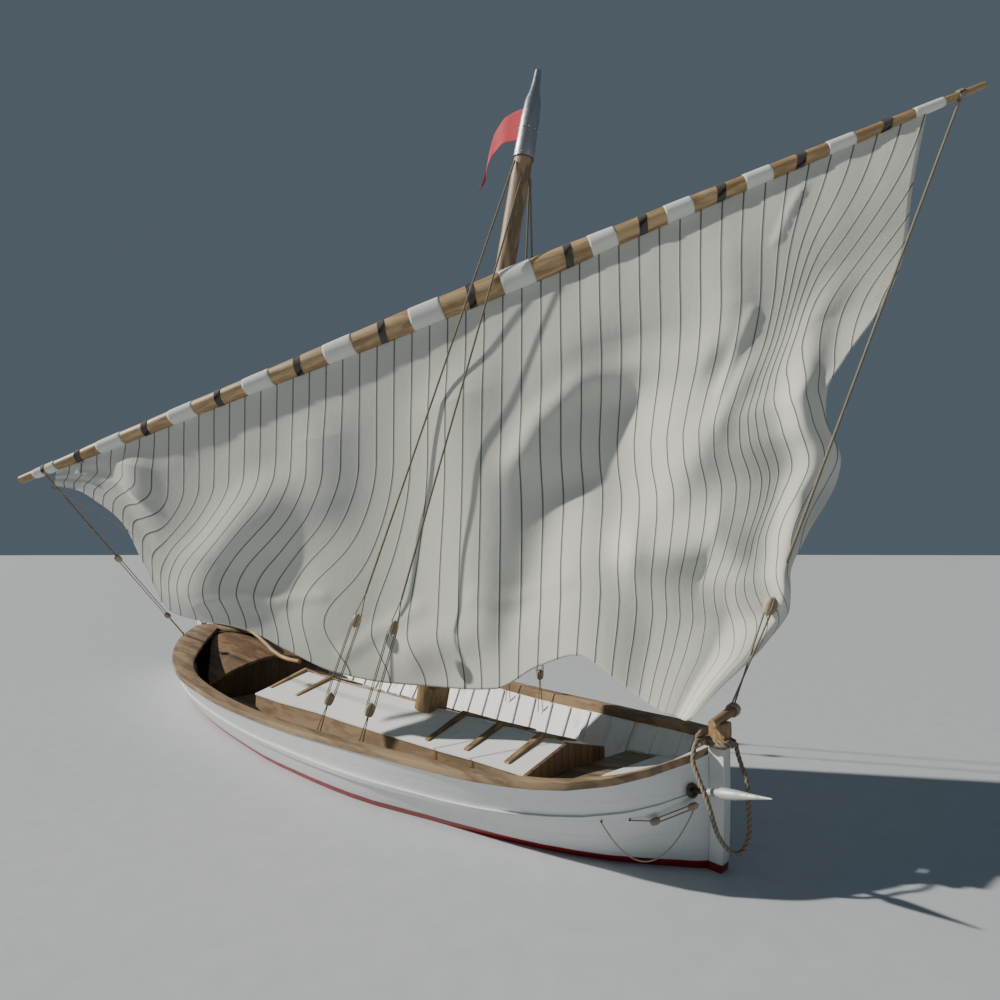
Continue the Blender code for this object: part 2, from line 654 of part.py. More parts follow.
def makePartner():
    # square block round the foot of the mast, raked with it and notched over the ridge
    axis = mastAxis()
    side = Vector((0, 1, 0))
    front = side.cross(axis)
    foot = onMast(roofZ(1.70, 0) + 0.004)
    corners = ((1, 1), (-1, 1), (-1, -1), (1, -1))
    rings = []
    for up in (-0.055, partnerHeight):
        rings.append([foot + axis * up + front * partnerHalf * a + side * partnerHalf * b for a, b in corners])
    block = loft("mast_partner", rings, wood)
    notch = loft("partner_notch", [[(x, 0.6, roofZ(x, 0.6) - 0.3), (x, trunkHalf(x), roofZ(x, 9) + 0.0018),
                                    (x, 0, roofZ(x, 0) + 0.0018), (x, -trunkHalf(x), roofZ(x, 9) + 0.0018),
                                    (x, -0.6, roofZ(x, 0.6) - 0.3)]
                                   for x in trunkXs() if 1.2 < x < 2.2], None, cutter=True)
    cut(block, notch)
    return block


def makeCap():
    # turned metal cap: height above the mast top and radius
    profile = ((0.0, 0.086), (0.04, 0.090), (0.16, 0.084), (0.33, 0.080), (0.47, 0.068), (0.55, 0.045),
               (0.62, 0.034), (mastCapLength, 0.026))
    rings = []
    axis = mastAxis()
    side = Vector((0, 1, 0))
    front = side.cross(axis)
    foot = onMast(mastTopZ) + axis * gap
    for up, radius in profile:
        rings.append([foot + axis * up + (side * math.cos(a) + front * math.sin(a)) * radius
                      for a in np.linspace(0, 2 * math.pi, 24, endpoint=False)])
    return loft("mast_cap", rings, metal)


def yardPoint(t):
    return Vector(yardLow).lerp(Vector(yardHigh), t)


def makeSpar(name, rows):
    along = (Vector(yardHigh) - Vector(yardLow)).normalized()
    side = along.cross(Vector((0, 0, 1))).normalized()
    up = side.cross(along)
    shares = np.linspace(rows[0][0], rows[-1][0], 25)
    columns = list(zip(*rows))
    rings = []
    for share in shares:
        rise = float(smooth(share, columns[0], columns[1]))
        radius = float(smooth(share, columns[0], columns[2]))
        middle = yardPoint(share) + up * rise
        rings.append([middle + (side * math.cos(a) + up * math.sin(a)) * radius
                      for a in np.linspace(0, 2 * math.pi, 16, endpoint=False)])
    return loft(name, rings, spar)


def makeParrel():
    # rope collar round the mast beside the yard
    axis = mastAxis()
    side = Vector((0, 1, 0))
    front = side.cross(axis)
    along = (Vector(yardHigh) - Vector(yardLow)).normalized()
    near = along - axis * along.dot(axis)
    start = Vector(yardLow) - Vector(mastPoint)
    start = start - axis * start.dot(axis)
    meet = Vector(yardLow) - along * (start.dot(near) / near.length_squared)
    middle = Vector(mastPoint) + axis * (meet - Vector(mastPoint)).dot(axis)
    bm = bmesh.new()
    around, section = 32, 10
    ring, half = parrelRing
    rings = []
    for a in np.linspace(0, 2 * math.pi, around, endpoint=False):
        out = side * math.cos(a) + front * math.sin(a)
        rings.append([bm.verts.new(middle + out * (ring + half * math.cos(b)) + axis * half * math.sin(b))
                      for b in np.linspace(0, 2 * math.pi, section, endpoint=False)])
    for i in range(around):
        for j in range(section):
            a, b = rings[i], rings[(i + 1) % around]
            k = (j + 1) % section
            bm.faces.new((a[j], a[k], b[k], b[j]))
    bmesh.ops.recalc_face_normals(bm, faces=bm.faces)
    mesh = bpy.data.meshes.new("parrel")
    bm.to_mesh(mesh)
    bm.free()
    obj = bpy.data.objects.new("parrel", mesh)
    bpy.context.scene.collection.objects.link(obj)
    return place(obj, "parrel", rope)


def makeShrouds():
    for number, (side, topZ, turn, x, y) in enumerate(shroudRows, 1):
        angle = math.radians(turn)
        foot = Vector((x, side * y, shroudFootZ))
        top = onMast(topZ) + Vector((math.sin(angle), side * math.cos(angle), 0)) * (0.0902 if turn < 30 else 0.0930)
        aim = (foot - top).normalized()
        across = aim.cross(Vector((1, 0, 0))).normalized()
        other = aim.cross(across)
        rings = []
        for share, radius in shroudProfile:
            middle = top.lerp(foot, share)
            rings.append([middle + (across * math.cos(a) + other * math.sin(a)) * radius
                          for a in np.linspace(0, 2 * math.pi, 12, endpoint=False)])
        loft("shroud_%d" % number, rings, rope)


def yardBottom(share):
    # lowest edge of the spars at a share of the yard; the lower spar's end still carries the cloth a little way on
    rows = lowerSpar if share < 0.65 else upperSpar
    keys = [row[0] for row in rows]
    at = min(max(share, keys[0]), keys[-1])
    bottom = float(smooth(at, keys, [row[1] for row in rows])) - float(smooth(at, keys, [row[2] for row in rows]))
    if 0.65 <= share < 0.70:
        bottom = min(bottom, -0.085)
    return bottom


def yardUp():
    along = (Vector(yardHigh) - Vector(yardLow)).normalized()
    side = along.cross(Vector((0, 0, 1))).normalized()
    return side.cross(along)


def foldHeight(share, drop):
    # sum of rounded ridges: height times exp(-(distance to the fold's line / half width) squared), none at the yard
    here = Vector((share * sailWidth, drop * sailDrop))
    total = 0.0
    for width, height, line in foldRows:
        near = 10.0
        for first, last in zip(line, line[1:]):
            start = Vector((first[0] * sailWidth, first[1] * sailDrop))
            run = Vector((last[0] * sailWidth, last[1] * sailDrop)) - start
            part = min(max((here - start).dot(run) / run.length_squared, 0.0), 1.0)
            near = min(near, (here - start - run * part).length)
        total += height * math.exp(-(near / width)**2)
    return total * min(drop * 4.0, 1.0)**2


def makeSail():
    # columns hang from the yard; the last ones bend to the free edge between clew and peak
    columns, rows = 40, 24
    heights = [row[0] for row in leechRows]
    clew = Vector((leechRows[0][1], leechRows[0][2], leechRows[0][0]))
    last = footRows[-1][0]
    peak = yardPoint(last) + yardUp() * (yardBottom(last) - 0.005)
    along = Vector(yardHigh) - Vector(yardLow)
    facing = Vector((along.y, -along.x, 0)).normalized()
    shares, *feet = zip(*footRows)
    verts = []
    for share in np.linspace(shares[0], last, columns):
        top = yardPoint(share) + yardUp() * (yardBottom(share) - sailHeadDrop)
        low = Vector([float(smooth(share, shares, foot)) for foot in feet])
        pull = max(0.0, (share - 0.55) / (last - 0.55))**2
        for i in range(rows):
            w = i / (rows - 1)
            height = peak.z + (clew.z - peak.z) * w
            edge = Vector((float(smooth(height, heights, [row[1] for row in leechRows])),
                           float(smooth(height, heights, [row[2] for row in leechRows])), height))
            bend = (edge - peak.lerp(clew, w)) * pull * (1.0 if i else 0.0)
            verts.append(top.lerp(low, w) + bend + facing * foldHeight(share, w))
    faces = [(i * rows + j, i * rows + j + 1, (i + 1) * rows + j + 1, (i + 1) * rows + j)
             for i in range(columns - 1) for j in range(rows - 1)]
    sail = meshObject("sail", verts, faces, cloth)
    setModifier(sail, "SOLIDIFY", thickness=0.006, offset=0.0)
    return sail


def makePennant():
    def ring(row):
        y, topX, topZ, lowX, lowZ = row
        return [(topX, y - 0.002, topZ), (topX, y + 0.002, topZ), (lowX, y + 0.002, lowZ), (lowX, y - 0.002, lowZ)]
    return loft("pennant", [ring(row) for row in pennantRows], pinkCloth)


def rudderX(z):
    return sternX(z) - hingeSetback


def hingeAxis():
    return Vector((-sternRake, 0.0, 1.0)).normalized()


def hingePoint(z):
    return Vector((rudderX(z), 0.0, z))


def makeRudder():
    # blade outline in the hinge's own frame: height along it, distance aft
    axis = hingeAxis()
    aft = Vector((-axis.z, 0, axis.x))
    rim = [(-0.53, -0.012)]
    for height in hingeHeights:
        rim += [(height - 0.030, -0.012), (height - 0.030, 0.028), (height + 0.030, 0.028),
                (height + 0.030, -0.012)]
    rim += [(rudderTop, -0.012), (rudderTop, 0.115), (0.52, 0.13), (0.26, 0.19), (0.0, 0.30), (-0.30, 0.40),
            (-0.53, 0.40)]
    points = []
    for height, back in rim:
        p = hingePoint(0) + axis * height + aft * back
        points.append((p.x, p.z))
    outline("rudder", points, 0.024, white)
    for number, height in enumerate(hingeHeights, 1):
        middle = hingePoint(0) + axis * height
        low, high = middle - axis * (0.030 - gap), middle + axis * (0.030 - gap)
        rod("pintle_%d" % number, low, high, (0.009, 0.009), iron, 16)
        corners = [(-0.0339, -0.013), (0.016, -0.013), (0.016, 0.013), (-0.0339, 0.013)]
        rings = [[middle + axis * up + aft * a + Vector((0, b, 0)) for a, b in corners] for up in (-0.018, 0.018)]
        eye = loft("gudgeon_%d" % number, rings, iron)
        bore = rod("gudgeon_bore_%d" % number, low, high, (0.0093, 0.0093), None, 16, cutter=True)
        cut(eye, bore)


def makeTiller():
    face = hingePoint(0) + hingeAxis() * 0.745 + Vector((0.0152, 0, 0))
    points = [tuple(face), (-4.20, 0, 0.772), (-3.80, 0, 0.792), (-3.40, 0, 0.797), (-3.0, 0, 0.775), (-2.70, 0, 0.735),
              (-2.45, 0, 0.690), (-2.20, 0, 0.635), (-1.95, 0, 0.565), (-1.72, 0, 0.500), (-1.50, 0, 0.462),
              (-1.25, 0, 0.450), (-0.97, 0, 0.462)]
    return tube("tiller", points, 0.026, paleWood)


def makePosts():
    low = keelBottom
    rabbet = [skinPoint(columns[0][-1], row) for row in range(skinRows)]
    inner = [(x + 0.0006, z) for x, y, z in rabbet]
    top = stemHeadZ[0]
    outer = [(4.0206, low), (4.14, -0.53), (4.31, -0.44), (4.43, -0.28), (4.49, -0.12), (4.512, 0.0),
             (4.525, 0.15), (4.533, 0.33), (4.543, top), (bowX(top) + 0.0015, top)]
    outline("stem_post", inner[:1] + outer + inner[:0:-1], postHalf, white)
    head = [(4.452, top + gap), (4.543, top + gap), (4.553, 0.74), (4.552, stemHeadZ[1]), (4.452, stemHeadZ[1])]
    block = outline("stem_head", head, postHalf + 0.005, wood, bevel=0.006)
    ends = (4.500, -0.100, 0.803), (4.500, 0.215, 0.841)
    rod("stem_log", *ends, (0.028, 0.031), wood, 14)
    bed = rod("log_bed", *ends, (0.0286, 0.0316), None, 14, cutter=True)
    cut(block, bed)
    outline("keel", [(-4.28, low), (4.02, low), (4.02, rabbetZ - 0.0005), (-4.28, rabbetZ - 0.0005)], postHalf,
            redPaint)
    outline("stern_post", [(-4.2805, low), (-4.2805, rabbetZ), (sternX(rabbetZ) - 0.001, rabbetZ),
                           (sternX(sternPostTop) - 0.001, sternPostTop), (sternX(sternPostTop) - 0.10, sternPostTop),
                           (sternX(low) - 0.10, low)],
            postHalf, white)


def makeSpike():
    # ring on the bow planking, a short shaft out of it and a turned metal nose
    eye, tip = Vector((4.402, -0.186, 0.429)), Vector((4.904, -0.270, 0.543))
    aim = (tip - eye).normalized()
    outward = Vector((0.93, -0.33, 0.05)).normalized()
    bpy.ops.mesh.primitive_torus_add(major_radius=0.033, minor_radius=0.010, major_segments=24, minor_segments=10)
    ring = place(bpy.context.active_object, "hawse_ring", iron)
    ring.data.transform(Matrix.Translation(eye + outward * 0.0148) @ outward.to_track_quat("Z", "Y").to_matrix().to_4x4())
    root = eye + aim * 0.0060
    rod("spike_shaft", root, root + aim * 0.116, (0.015, 0.015), wood, 14)
    side = aim.cross(Vector((0, 0, 1))).normalized()
    up = side.cross(aim)
    length = (tip - root).length
    profile = ((0.1165, 0.017), (0.130, 0.019), (0.165, 0.021), (0.190, 0.024), (0.212, 0.031), (0.235, 0.032),
               (0.300, 0.027), (0.400, 0.015), (length, 0.004))
    rings = [[root + aim * along + (side * math.cos(a) + up * math.sin(a)) * radius
              for a in np.linspace(0, 2 * math.pi, 16, endpoint=False)] for along, radius in profile]
    loft("spike_nose", rings, metal)


white = ((0.80, 0.80, 0.78), 0.55, 0.0)
redPaint = ((0.35, 0.05, 0.04), 0.6, 0.0)
wood = ((0.42, 0.25, 0.12), 0.6, 0.0)
darkWood = ((0.16, 0.10, 0.06), 0.8, 0.0)
paleWood = ((0.66, 0.52, 0.36), 0.6, 0.0)
deckWood = ((0.50, 0.34, 0.19), 0.7, 0.0)
spar = ((0.62, 0.42, 0.22), 0.5, 0.0)
metal = ((0.60, 0.60, 0.60), 0.35, 1.0)
iron = ((0.14, 0.12, 0.11), 0.6, 0.8)
cloth = ((0.82, 0.78, 0.68), 0.9, 0.0)
pinkCloth = ((0.72, 0.16, 0.18), 0.9, 0.0)
rope = ((0.62, 0.55, 0.42), 0.9, 0.0)

clearScene()
boat = newCollection("dhow_sailing_boat")
cutters = newCollection("cutters")

hull = makeHull()
makePosts()
makeRail(-1, "cap_rail_starboard")
makeRail(1, "cap_rail_port")
makeFrames(-1, "frames_starboard", -3.36, stepX - 0.03)
makeFrames(1, "frames_port", -3.36, stepX - 0.03)
makeFrames(-1, "bow_frames_starboard", stepX + 0.02, 3.96)
makeFrames(1, "bow_frames_port", stepX + 0.02, 3.96)
deck = makeMainDeck()
foredeck = makeForedeck()
trunk = makeTrunk()
roof = makeRoof()
makeFascia()
for number, (ridgeX, reach, long) in enumerate(battenRows, 1):
    makeBatten(number, ridgeX, reach, long)
makePlatform()
makeAftDeck()
makeBulkhead()
bore = makeMast()
partner = makePartner()
for pierced in (hull, deck, trunk, roof, partner):
    cut(pierced, bore)
makeCap()
makeSpar("yard_lower", lowerSpar)
makeSpar("yard_upper", upperSpar)
makeParrel()
makeShrouds()
makeRudder()
makeTiller()
makeSail()
makePennant()
makeSpike()
for obj in bpy.data.objects:
    obj.data.transform(Matrix.Translation((0, 0, boot)))
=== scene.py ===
import math
import bmesh
import bpy
import numpy as np
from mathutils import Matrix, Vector


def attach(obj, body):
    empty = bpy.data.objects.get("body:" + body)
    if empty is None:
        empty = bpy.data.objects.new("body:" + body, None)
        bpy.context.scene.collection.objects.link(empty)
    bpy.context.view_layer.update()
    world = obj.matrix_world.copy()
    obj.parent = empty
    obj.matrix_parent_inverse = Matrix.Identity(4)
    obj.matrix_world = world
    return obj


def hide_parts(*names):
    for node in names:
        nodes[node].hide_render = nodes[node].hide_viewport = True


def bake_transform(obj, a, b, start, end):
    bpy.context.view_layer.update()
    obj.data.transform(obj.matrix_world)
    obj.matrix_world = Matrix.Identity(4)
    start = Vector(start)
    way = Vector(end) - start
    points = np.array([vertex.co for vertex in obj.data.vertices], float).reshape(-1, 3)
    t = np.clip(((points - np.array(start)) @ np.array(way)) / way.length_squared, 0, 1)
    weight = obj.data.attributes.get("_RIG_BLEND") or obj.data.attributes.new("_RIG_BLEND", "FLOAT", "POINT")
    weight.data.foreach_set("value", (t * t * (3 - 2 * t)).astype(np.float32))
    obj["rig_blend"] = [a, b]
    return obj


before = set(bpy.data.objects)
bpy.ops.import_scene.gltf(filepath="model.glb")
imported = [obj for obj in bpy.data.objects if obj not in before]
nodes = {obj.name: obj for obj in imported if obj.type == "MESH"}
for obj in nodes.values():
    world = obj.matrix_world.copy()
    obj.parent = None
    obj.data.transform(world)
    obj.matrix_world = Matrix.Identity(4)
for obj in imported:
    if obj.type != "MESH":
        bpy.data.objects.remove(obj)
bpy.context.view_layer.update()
print("frame: %d nodes" % len(nodes))


# numbers and small geometry

def tone(red, green, blue):
    # a screen colour, 0 to 255, as linear light
    return tuple((c / 255) ** 2.2 for c in (red, green, blue)) + (1,)


def darker(colour, share):
    return tuple(c * share for c in tone(*colour)[:3]) + (1,)


def unit(v):
    # vectors divided by their own lengths
    v = np.asarray(v, float)
    return v / np.linalg.norm(v, axis=-1, keepdims=True)


def squareTo(axis, reference):
    # the axis, a direction square to it and to the reference, and one square to both
    axis = unit(axis)
    side = unit(np.cross(axis, reference))
    return axis, side, np.cross(axis, side)


def runAlong(path):
    # length of the path up to each point
    return np.concatenate([[0], np.cumsum(np.linalg.norm(np.diff(path, axis=0), axis=1))])


def by(direction, grid):
    # the direction x each number of the grid
    return direction * np.asarray(grid, float)[..., None]


def smoothStep(value, low, high):
    # 0 below low, 1 above high, and between them 3 t^2 - 2 t^3
    t = np.clip((value - low) / (high - low), 0, 1)
    return t * t * (3 - 2 * t)


def fullTurn(count):
    return np.linspace(0, math.tau, count)


def cubic(at, keys, values, slope):
    # between two keys the cubic with their values and slopes
    k = np.clip(np.searchsorted(keys, at, side="right") - 1, 0, len(keys) - 2)
    width = keys[k + 1] - keys[k]
    t = (at - keys[k]) / width
    if values.ndim > 1:
        t, width = t[:, None], width[:, None]
    return (values[k] * (2 * t**3 - 3 * t**2 + 1) + values[k + 1] * (3 * t**2 - 2 * t**3)
            + width * (slope[k] * (t**3 - 2 * t**2 + t) + slope[k + 1] * (t**3 - t**2)))


def softCurve(at, keys, values):
    # cubic whose slopes are the harmonic mean of the chords beside a key, and zero at a turning point
    keys = np.asarray(keys, float)
    values = np.asarray(values, float)
    chord = np.diff(values) / np.diff(keys)
    product = chord[:-1] * chord[1:]
    middle = np.where(product > 0, 2 * product / np.where(product > 0, chord[:-1] + chord[1:], 1), 0)
    slope = np.concatenate([chord[:1], middle, chord[-1:]])
    return cubic(np.clip(np.asarray(at, float), keys[0], keys[-1]), keys, values, slope)


def smoothPath(points, step):
    # rounded curve through the points: a cubic over the length of the chords
    points = np.asarray(points, float)
    run = runAlong(points)
    at = np.linspace(0, run[-1], max(3, int(run[-1] / step)))
    return cubic(at, run, points, np.gradient(points, run, axis=0))


def straightPath(start, end, step):
    # equal steps from one point to the other
    start, end = np.asarray(start, float), np.asarray(end, float)
    count = max(3, int(np.linalg.norm(end - start) / step))
    return start + (end - start) * np.linspace(0, 1, count)[:, None]


def pathLength(path):
    return float(runAlong(path)[-1])


def pair(first, second):
    # two grids of numbers as one grid of UV places
    return np.stack(np.broadcast_arrays(first, second), -1)


# meshes from grids of points

finishes = {}


def addObject(name, data):
    made = bpy.data.objects.new(name, data)
    bpy.context.scene.collection.objects.link(made)
    return made


def weld(mesh, distance, flat=0):
    # merges points nearer than the distance, and joins faces that bend by less than flat degrees
    bm = bmesh.new()
    bm.from_mesh(mesh)
    bmesh.ops.remove_doubles(bm, verts=bm.verts, dist=distance)
    if flat:
        bmesh.ops.dissolve_limit(bm, angle_limit=math.radians(flat), verts=bm.verts, edges=bm.edges)
    else:
        bmesh.ops.dissolve_degenerate(bm, dist=distance, edges=bm.edges)
    bm.to_mesh(mesh)
    bm.free()


def surface(name, sheets, finish):
    # every sheet is a grid of points with its UV grid; quads join neighbours
    verts, quads, uvs, start = [], [], [], 0
    for points, uv in sheets:
        rows, columns = points.shape[:2]
        grid = np.arange(rows * columns).reshape(rows, columns) + start
        corners = (grid[:-1, :-1], grid[:-1, 1:], grid[1:, 1:], grid[1:, :-1])
        verts.append(points.reshape(-1, 3))
        uvs.append(uv.reshape(-1, 2))
        quads.append(np.stack(corners, -1).reshape(-1, 4))
        start += rows * columns
    quads = np.concatenate(quads)
    mesh = bpy.data.meshes.new(name)
    mesh.from_pydata(np.concatenate(verts).tolist(), [], quads.tolist())
    layer = mesh.uv_layers.new(name="uv")
    layer.data.foreach_set("uv", np.concatenate(uvs)[quads.ravel()].astype(np.float32).ravel())
    weld(mesh, 0.00001)
    mesh.shade_smooth()
    mesh.materials.append(finishes[finish])
    return addObject(name, mesh)


# laid rope: strands, diameters along one turn, radius in the grooves, and what a strand adds
layShape = {"strands": 3, "turn": 3.5, "groove": 0.76, "lobe": 0.25}


def sweepSheet(path, radius, around=12, reference=(0, 0, 1), lay=0, capped=True):
    # point = path + radius x (cos a x side + sin a x up); a lay, the length of one turn, multiplies the
    # radius by groove + lobe x |cos(strands / 2 x (a - turns))|; V counts turns; uncapped, it is a loop
    path = np.asarray(path, float)
    tangent = np.gradient(path, axis=0)
    run = runAlong(path)
    pitch = lay or 0.1
    if not capped:
        tangent[0] = tangent[-1] = path[1] - path[-2]
        pitch = run[-1] / max(1, round(run[-1] / pitch))
    tangent = unit(tangent)
    side = unit(np.cross(reference, tangent))
    up = np.cross(tangent, side)
    angle = fullTurn(around + 1)
    swell = np.ones((len(path), around + 1))
    if lay:
        phase = layShape["strands"] / 2 * (angle[None, :] - math.tau * run[:, None] / pitch)
        swell = layShape["groove"] + layShape["lobe"] * np.abs(np.cos(phase))
    ring = np.cos(angle)[None, :, None] * side[:, None, :] + np.sin(angle)[None, :, None] * up[:, None, :]
    points = path[:, None, :] + ring * (radius * swell)[:, :, None]
    if capped:
        ends = [np.tile(path[i], (1, around + 1, 1)) for i in (0, -1)]
        points = np.concatenate([ends[0], points, ends[1]])
        run = np.concatenate([run[:1], run, run[-1:]])
    return points, pair(angle[None, :] / math.tau, run[:, None] / pitch)


def ropeSheet(path, diameter, around=12, reference=(0, 0, 1)):
    return sweepSheet(path, diameter / 2, around, reference, diameter * layShape["turn"])


def straightRope(start, end, diameter, step=0.008, around=8):
    return ropeSheet(straightPath(start, end, step), diameter, around)


def twoRopes(start, end, side, diameter, step=0.008):
    return [straightRope(start + side * way, end + side * way, diameter, step) for way in (-1, 1)]


# blocks: bluntness, hollow along the edges, and the line along which the broad faces look
blockShape = {"blunt": 0.55, "hollow": 0.16, "hollowWidth": 0.25, "facing": (0.7, -0.7, 0)}


def pulleySheet(centre, axis, long, wide, thick):
    # oval shell: half length x sin t along, half width and thickness x cos t ^ blunt across, less
    # hollow x exp(-(cos a / its width)^2) at the edges
    axis, side, up = squareTo(axis, blockShape["facing"])
    t = np.linspace(-math.pi / 2, math.pi / 2, 17)[:, None]
    a = fullTurn(25)[None, :]
    body = 1 - blockShape["hollow"] * np.exp(-(np.cos(a) / blockShape["hollowWidth"]) ** 2)
    body = np.cos(t) ** blockShape["blunt"] * body
    points = (centre + by(axis, long / 2 * np.sin(t)) + by(side, wide / 2 * np.cos(a) * body)
              + by(up, thick / 2 * np.sin(a) * body))
    return points, pair(a / math.tau, t)


def stropSheet(centre, axis, long, thick, diameter):
    # loop round a block: an ellipse in the plane of its axis and edges
    axis, side, up = squareTo(axis, blockShape["facing"])
    t = fullTurn(41)[:, None]
    reach, half = long / 2 + diameter * 0.4, thick * 0.44
    path = centre + axis * reach * np.cos(t) + up * half * np.sin(t)
    return sweepSheet(path, diameter / 2, 9, side, diameter * layShape["turn"], capped=False)


def thicken(cloth, thick):
    # cloth of that thickness, half of it on each side; gives the area of one side
    area = sum(face.area for face in cloth.data.polygons)
    solid = cloth.modifiers.new("thickness", "SOLIDIFY")
    solid.thickness = thick
    solid.offset = 0
    return area


# distance that merges points, degrees that count as flat, and the least corner that is eased
dressSetup = {"merge": 0.00002, "flat": 0.4, "corner": 38, "segments": 2}


def dress(name, finish, edge, smooth, body):
    # a copy of the node's mesh, with its flat triangles joined and its edges eased
    mesh = nodes[name].data.copy()
    for attribute in [a for a in mesh.attributes if a.name == "custom_normal"]:
        mesh.attributes.remove(attribute)
    mesh.materials.clear()
    weld(mesh, dressSetup["merge"], dressSetup["flat"])
    mesh.shade_smooth()
    mesh.set_sharp_from_angle(angle=math.radians(smooth))
    mesh.materials.append(finishes[finish])
    piece = addObject(name + "_finish", mesh)
    if edge:
        bevel = piece.modifiers.new("edge", "BEVEL")
        bevel.width = edge
        bevel.segments = dressSetup["segments"]
        bevel.limit_method = "ANGLE"
        bevel.angle_limit = math.radians(dressSetup["corner"])
        bevel.use_clamp_overlap = True
        bevel.harden_normals = True
    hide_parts(name)
    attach(piece, body)


# camera, floor and light

cameraSetup = {"place": (6.235, -3.518, 1.857), "heading": 45.83, "pitch": 5.05, "lens": 21.6, "sensor": 36}
lightSetup = {"travel": (0.642, 0.568, -0.515), "sun": 4.7, "sunColour": (1, 0.95, 0.87), "softness": 1.4,
              "sky": 0.135, "skyColour": (0.62, 0.82, 1, 1)}
floorSetup = {"reach": 600, "tones": ((190, 194, 200), (196, 200, 205)), "rough": 0.9}


def makeCamera(setup):
    data = bpy.data.cameras.new("camera")
    data.lens = setup["lens"]
    data.sensor_width = setup["sensor"]
    camera = addObject("camera", data)
    camera.location = setup["place"]
    camera.rotation_euler = (math.radians(90 + setup["pitch"]), 0, math.radians(setup["heading"]))
    bpy.context.scene.camera = camera


class Value:
    # a socket that adds its Math node where it is used in an expression

    def __init__(self, paint, socket):
        self.paint = paint
        self.socket = socket

    def __add__(self, other):
        return self.paint.maths("ADD", self, other)

    __radd__ = __add__

    def __sub__(self, other):
        return self.paint.maths("SUBTRACT", self, other)

    def __rsub__(self, other):
        return self.paint.maths("SUBTRACT", other, self)

    def __mul__(self, other):
        return self.paint.maths("MULTIPLY", self, other)

    __rmul__ = __mul__

    def __truediv__(self, other):
        return self.paint.maths("DIVIDE", self, other)


class Paint:
    # one material and its nodes

    def __init__(self, name, **fixed):
        self.material = bpy.data.materials.new(name)
        self.material.use_nodes = True
        self.tree = self.material.node_tree
        self.shader = self.tree.nodes["Principled BSDF"]
        for socket, value in fixed.items():
            self.shader.inputs[socket.replace("_", " ")].default_value = value

    def feed(self, socket, value):
        # a node's output, a number, a vector, or a colour as three numbers up to 255
        if isinstance(value, Value):
            self.tree.links.new(value.socket, socket)
        else:
            socket.default_value = tone(*value) if socket.type == "RGBA" and len(value) == 3 else value

    def add(self, kind, settings, sockets, out=0):
        node = self.tree.nodes.new("ShaderNode" + kind)
        for key, value in settings.items():
            if key == "stops":
                while len(node.color_ramp.elements) < len(value):
                    node.color_ramp.elements.new(0.5)
                for element, (position, colour) in zip(node.color_ramp.elements, value):
                    element.position = position
                    element.color = colour
            else:
                setattr(node, key, value)
        for key, value in sockets.items():
            self.feed(node.inputs[key], value)
        return Value(self, node.outputs[out])

    def place(self):
        return self.add("TexCoord", {}, {}, 3)

    def uv(self):
        return self.add("TexCoord", {}, {}, 2)

    def parts(self, vector):
        return [self.add("SeparateXYZ", {}, {0: vector}, i) for i in range(3)]

    def dot(self, vector, direction):
        return self.add("VectorMath", {"operation": "DOT_PRODUCT"}, {0: vector, 1: tuple(direction)}, 1)

    def join(self, x, y, z):
        return self.add("CombineXYZ", {}, {0: x, 1: y, 2: z})

    def noise(self, vector, scale, detail=3, rough=0.5, warp=0):
        return self.add("TexNoise", {}, {"Vector": vector, "Scale": scale, "Detail": detail,
                                         "Roughness": rough, "Distortion": warp})

    def maths(self, operation, *values):
        return self.add("Math", {"operation": operation}, dict(enumerate(values)))

    def ramp(self, value, stops):
        return self.add("ValToRGB", {"stops": stops}, {0: value})

    def mix(self, first, second, share, how="MIX"):
        return self.add("Mix", {"data_type": "RGBA", "blend_type": how}, {0: share, 6: first, 7: second}, 2)

    def rise(self, value, low, high):
        # 0 below low, 1 above high and soft between
        return self.add("MapRange", {"interpolation_type": "SMOOTHSTEP"},
                        {0: value, 1: low, 2: high, 3: 0, 4: 1})

    def boards(self, value):
        # for boards of width 1, the distance from the nearest joint and a number for each board
        fromEdge = 0.5 - self.maths("ABSOLUTE", self.maths("FRACT", value) - 0.5)
        number = self.add("TexWhiteNoise", {"noise_dimensions": "1D"}, {"W": self.maths("FLOOR", value)})
        return fromEdge, number

    def seams(self, value, width, line):
        # 1 on the lines between boards, and a number for each board
        fromEdge, number = self.boards(value / width)
        return 1 - self.rise(fromEdge, line / width * 0.35, line / width), number

    def finish(self, colour, rough, height=None, depth=0.002, strength=0.6):
        self.feed(self.shader.inputs["Base Color"], colour)
        self.feed(self.shader.inputs["Roughness"], rough)
        if height is not None:
            bump = self.add("Bump", {}, {"Height": height, "Distance": depth, "Strength": strength})
            self.feed(self.shader.inputs["Normal"], bump)
        return self.material


def makeStage(setup):
    paint = Paint("stageFloor")
    low, high = setup["tones"]
    colour = paint.ramp(paint.noise(paint.place(), 6, 2), ((0.3, tone(*low)), (0.7, tone(*high))))
    line = np.array([-1, 0, 1]) * setup["reach"]
    x, y = np.meshgrid(line, line)
    sheet = np.stack([x, y, np.zeros_like(x)], -1), pair(x, y)
    finishes["stageFloor"] = paint.finish(colour, setup["rough"])
    floor = surface("floor", [sheet], "stageFloor")


def makeLight(setup):
    world = bpy.data.worlds.new("sky")
    world.use_nodes = True
    colour, strength = world.node_tree.nodes["Background"].inputs[:2]
    colour.default_value = setup["skyColour"]
    strength.default_value = setup["sky"]
    bpy.context.scene.world = world
    sun = bpy.data.lights.new("sun", "SUN")
    sun.energy = setup["sun"]
    sun.angle = math.radians(setup["softness"])
    sun.color = setup["sunColour"]
    addObject("sun", sun).rotation_euler = Vector(setup["travel"]).to_track_quat("-Z", "Y").to_euler()


makeCamera(cameraSetup)
makeStage(floorSetup)
makeLight(lightSetup)
print("camera, floor and light")


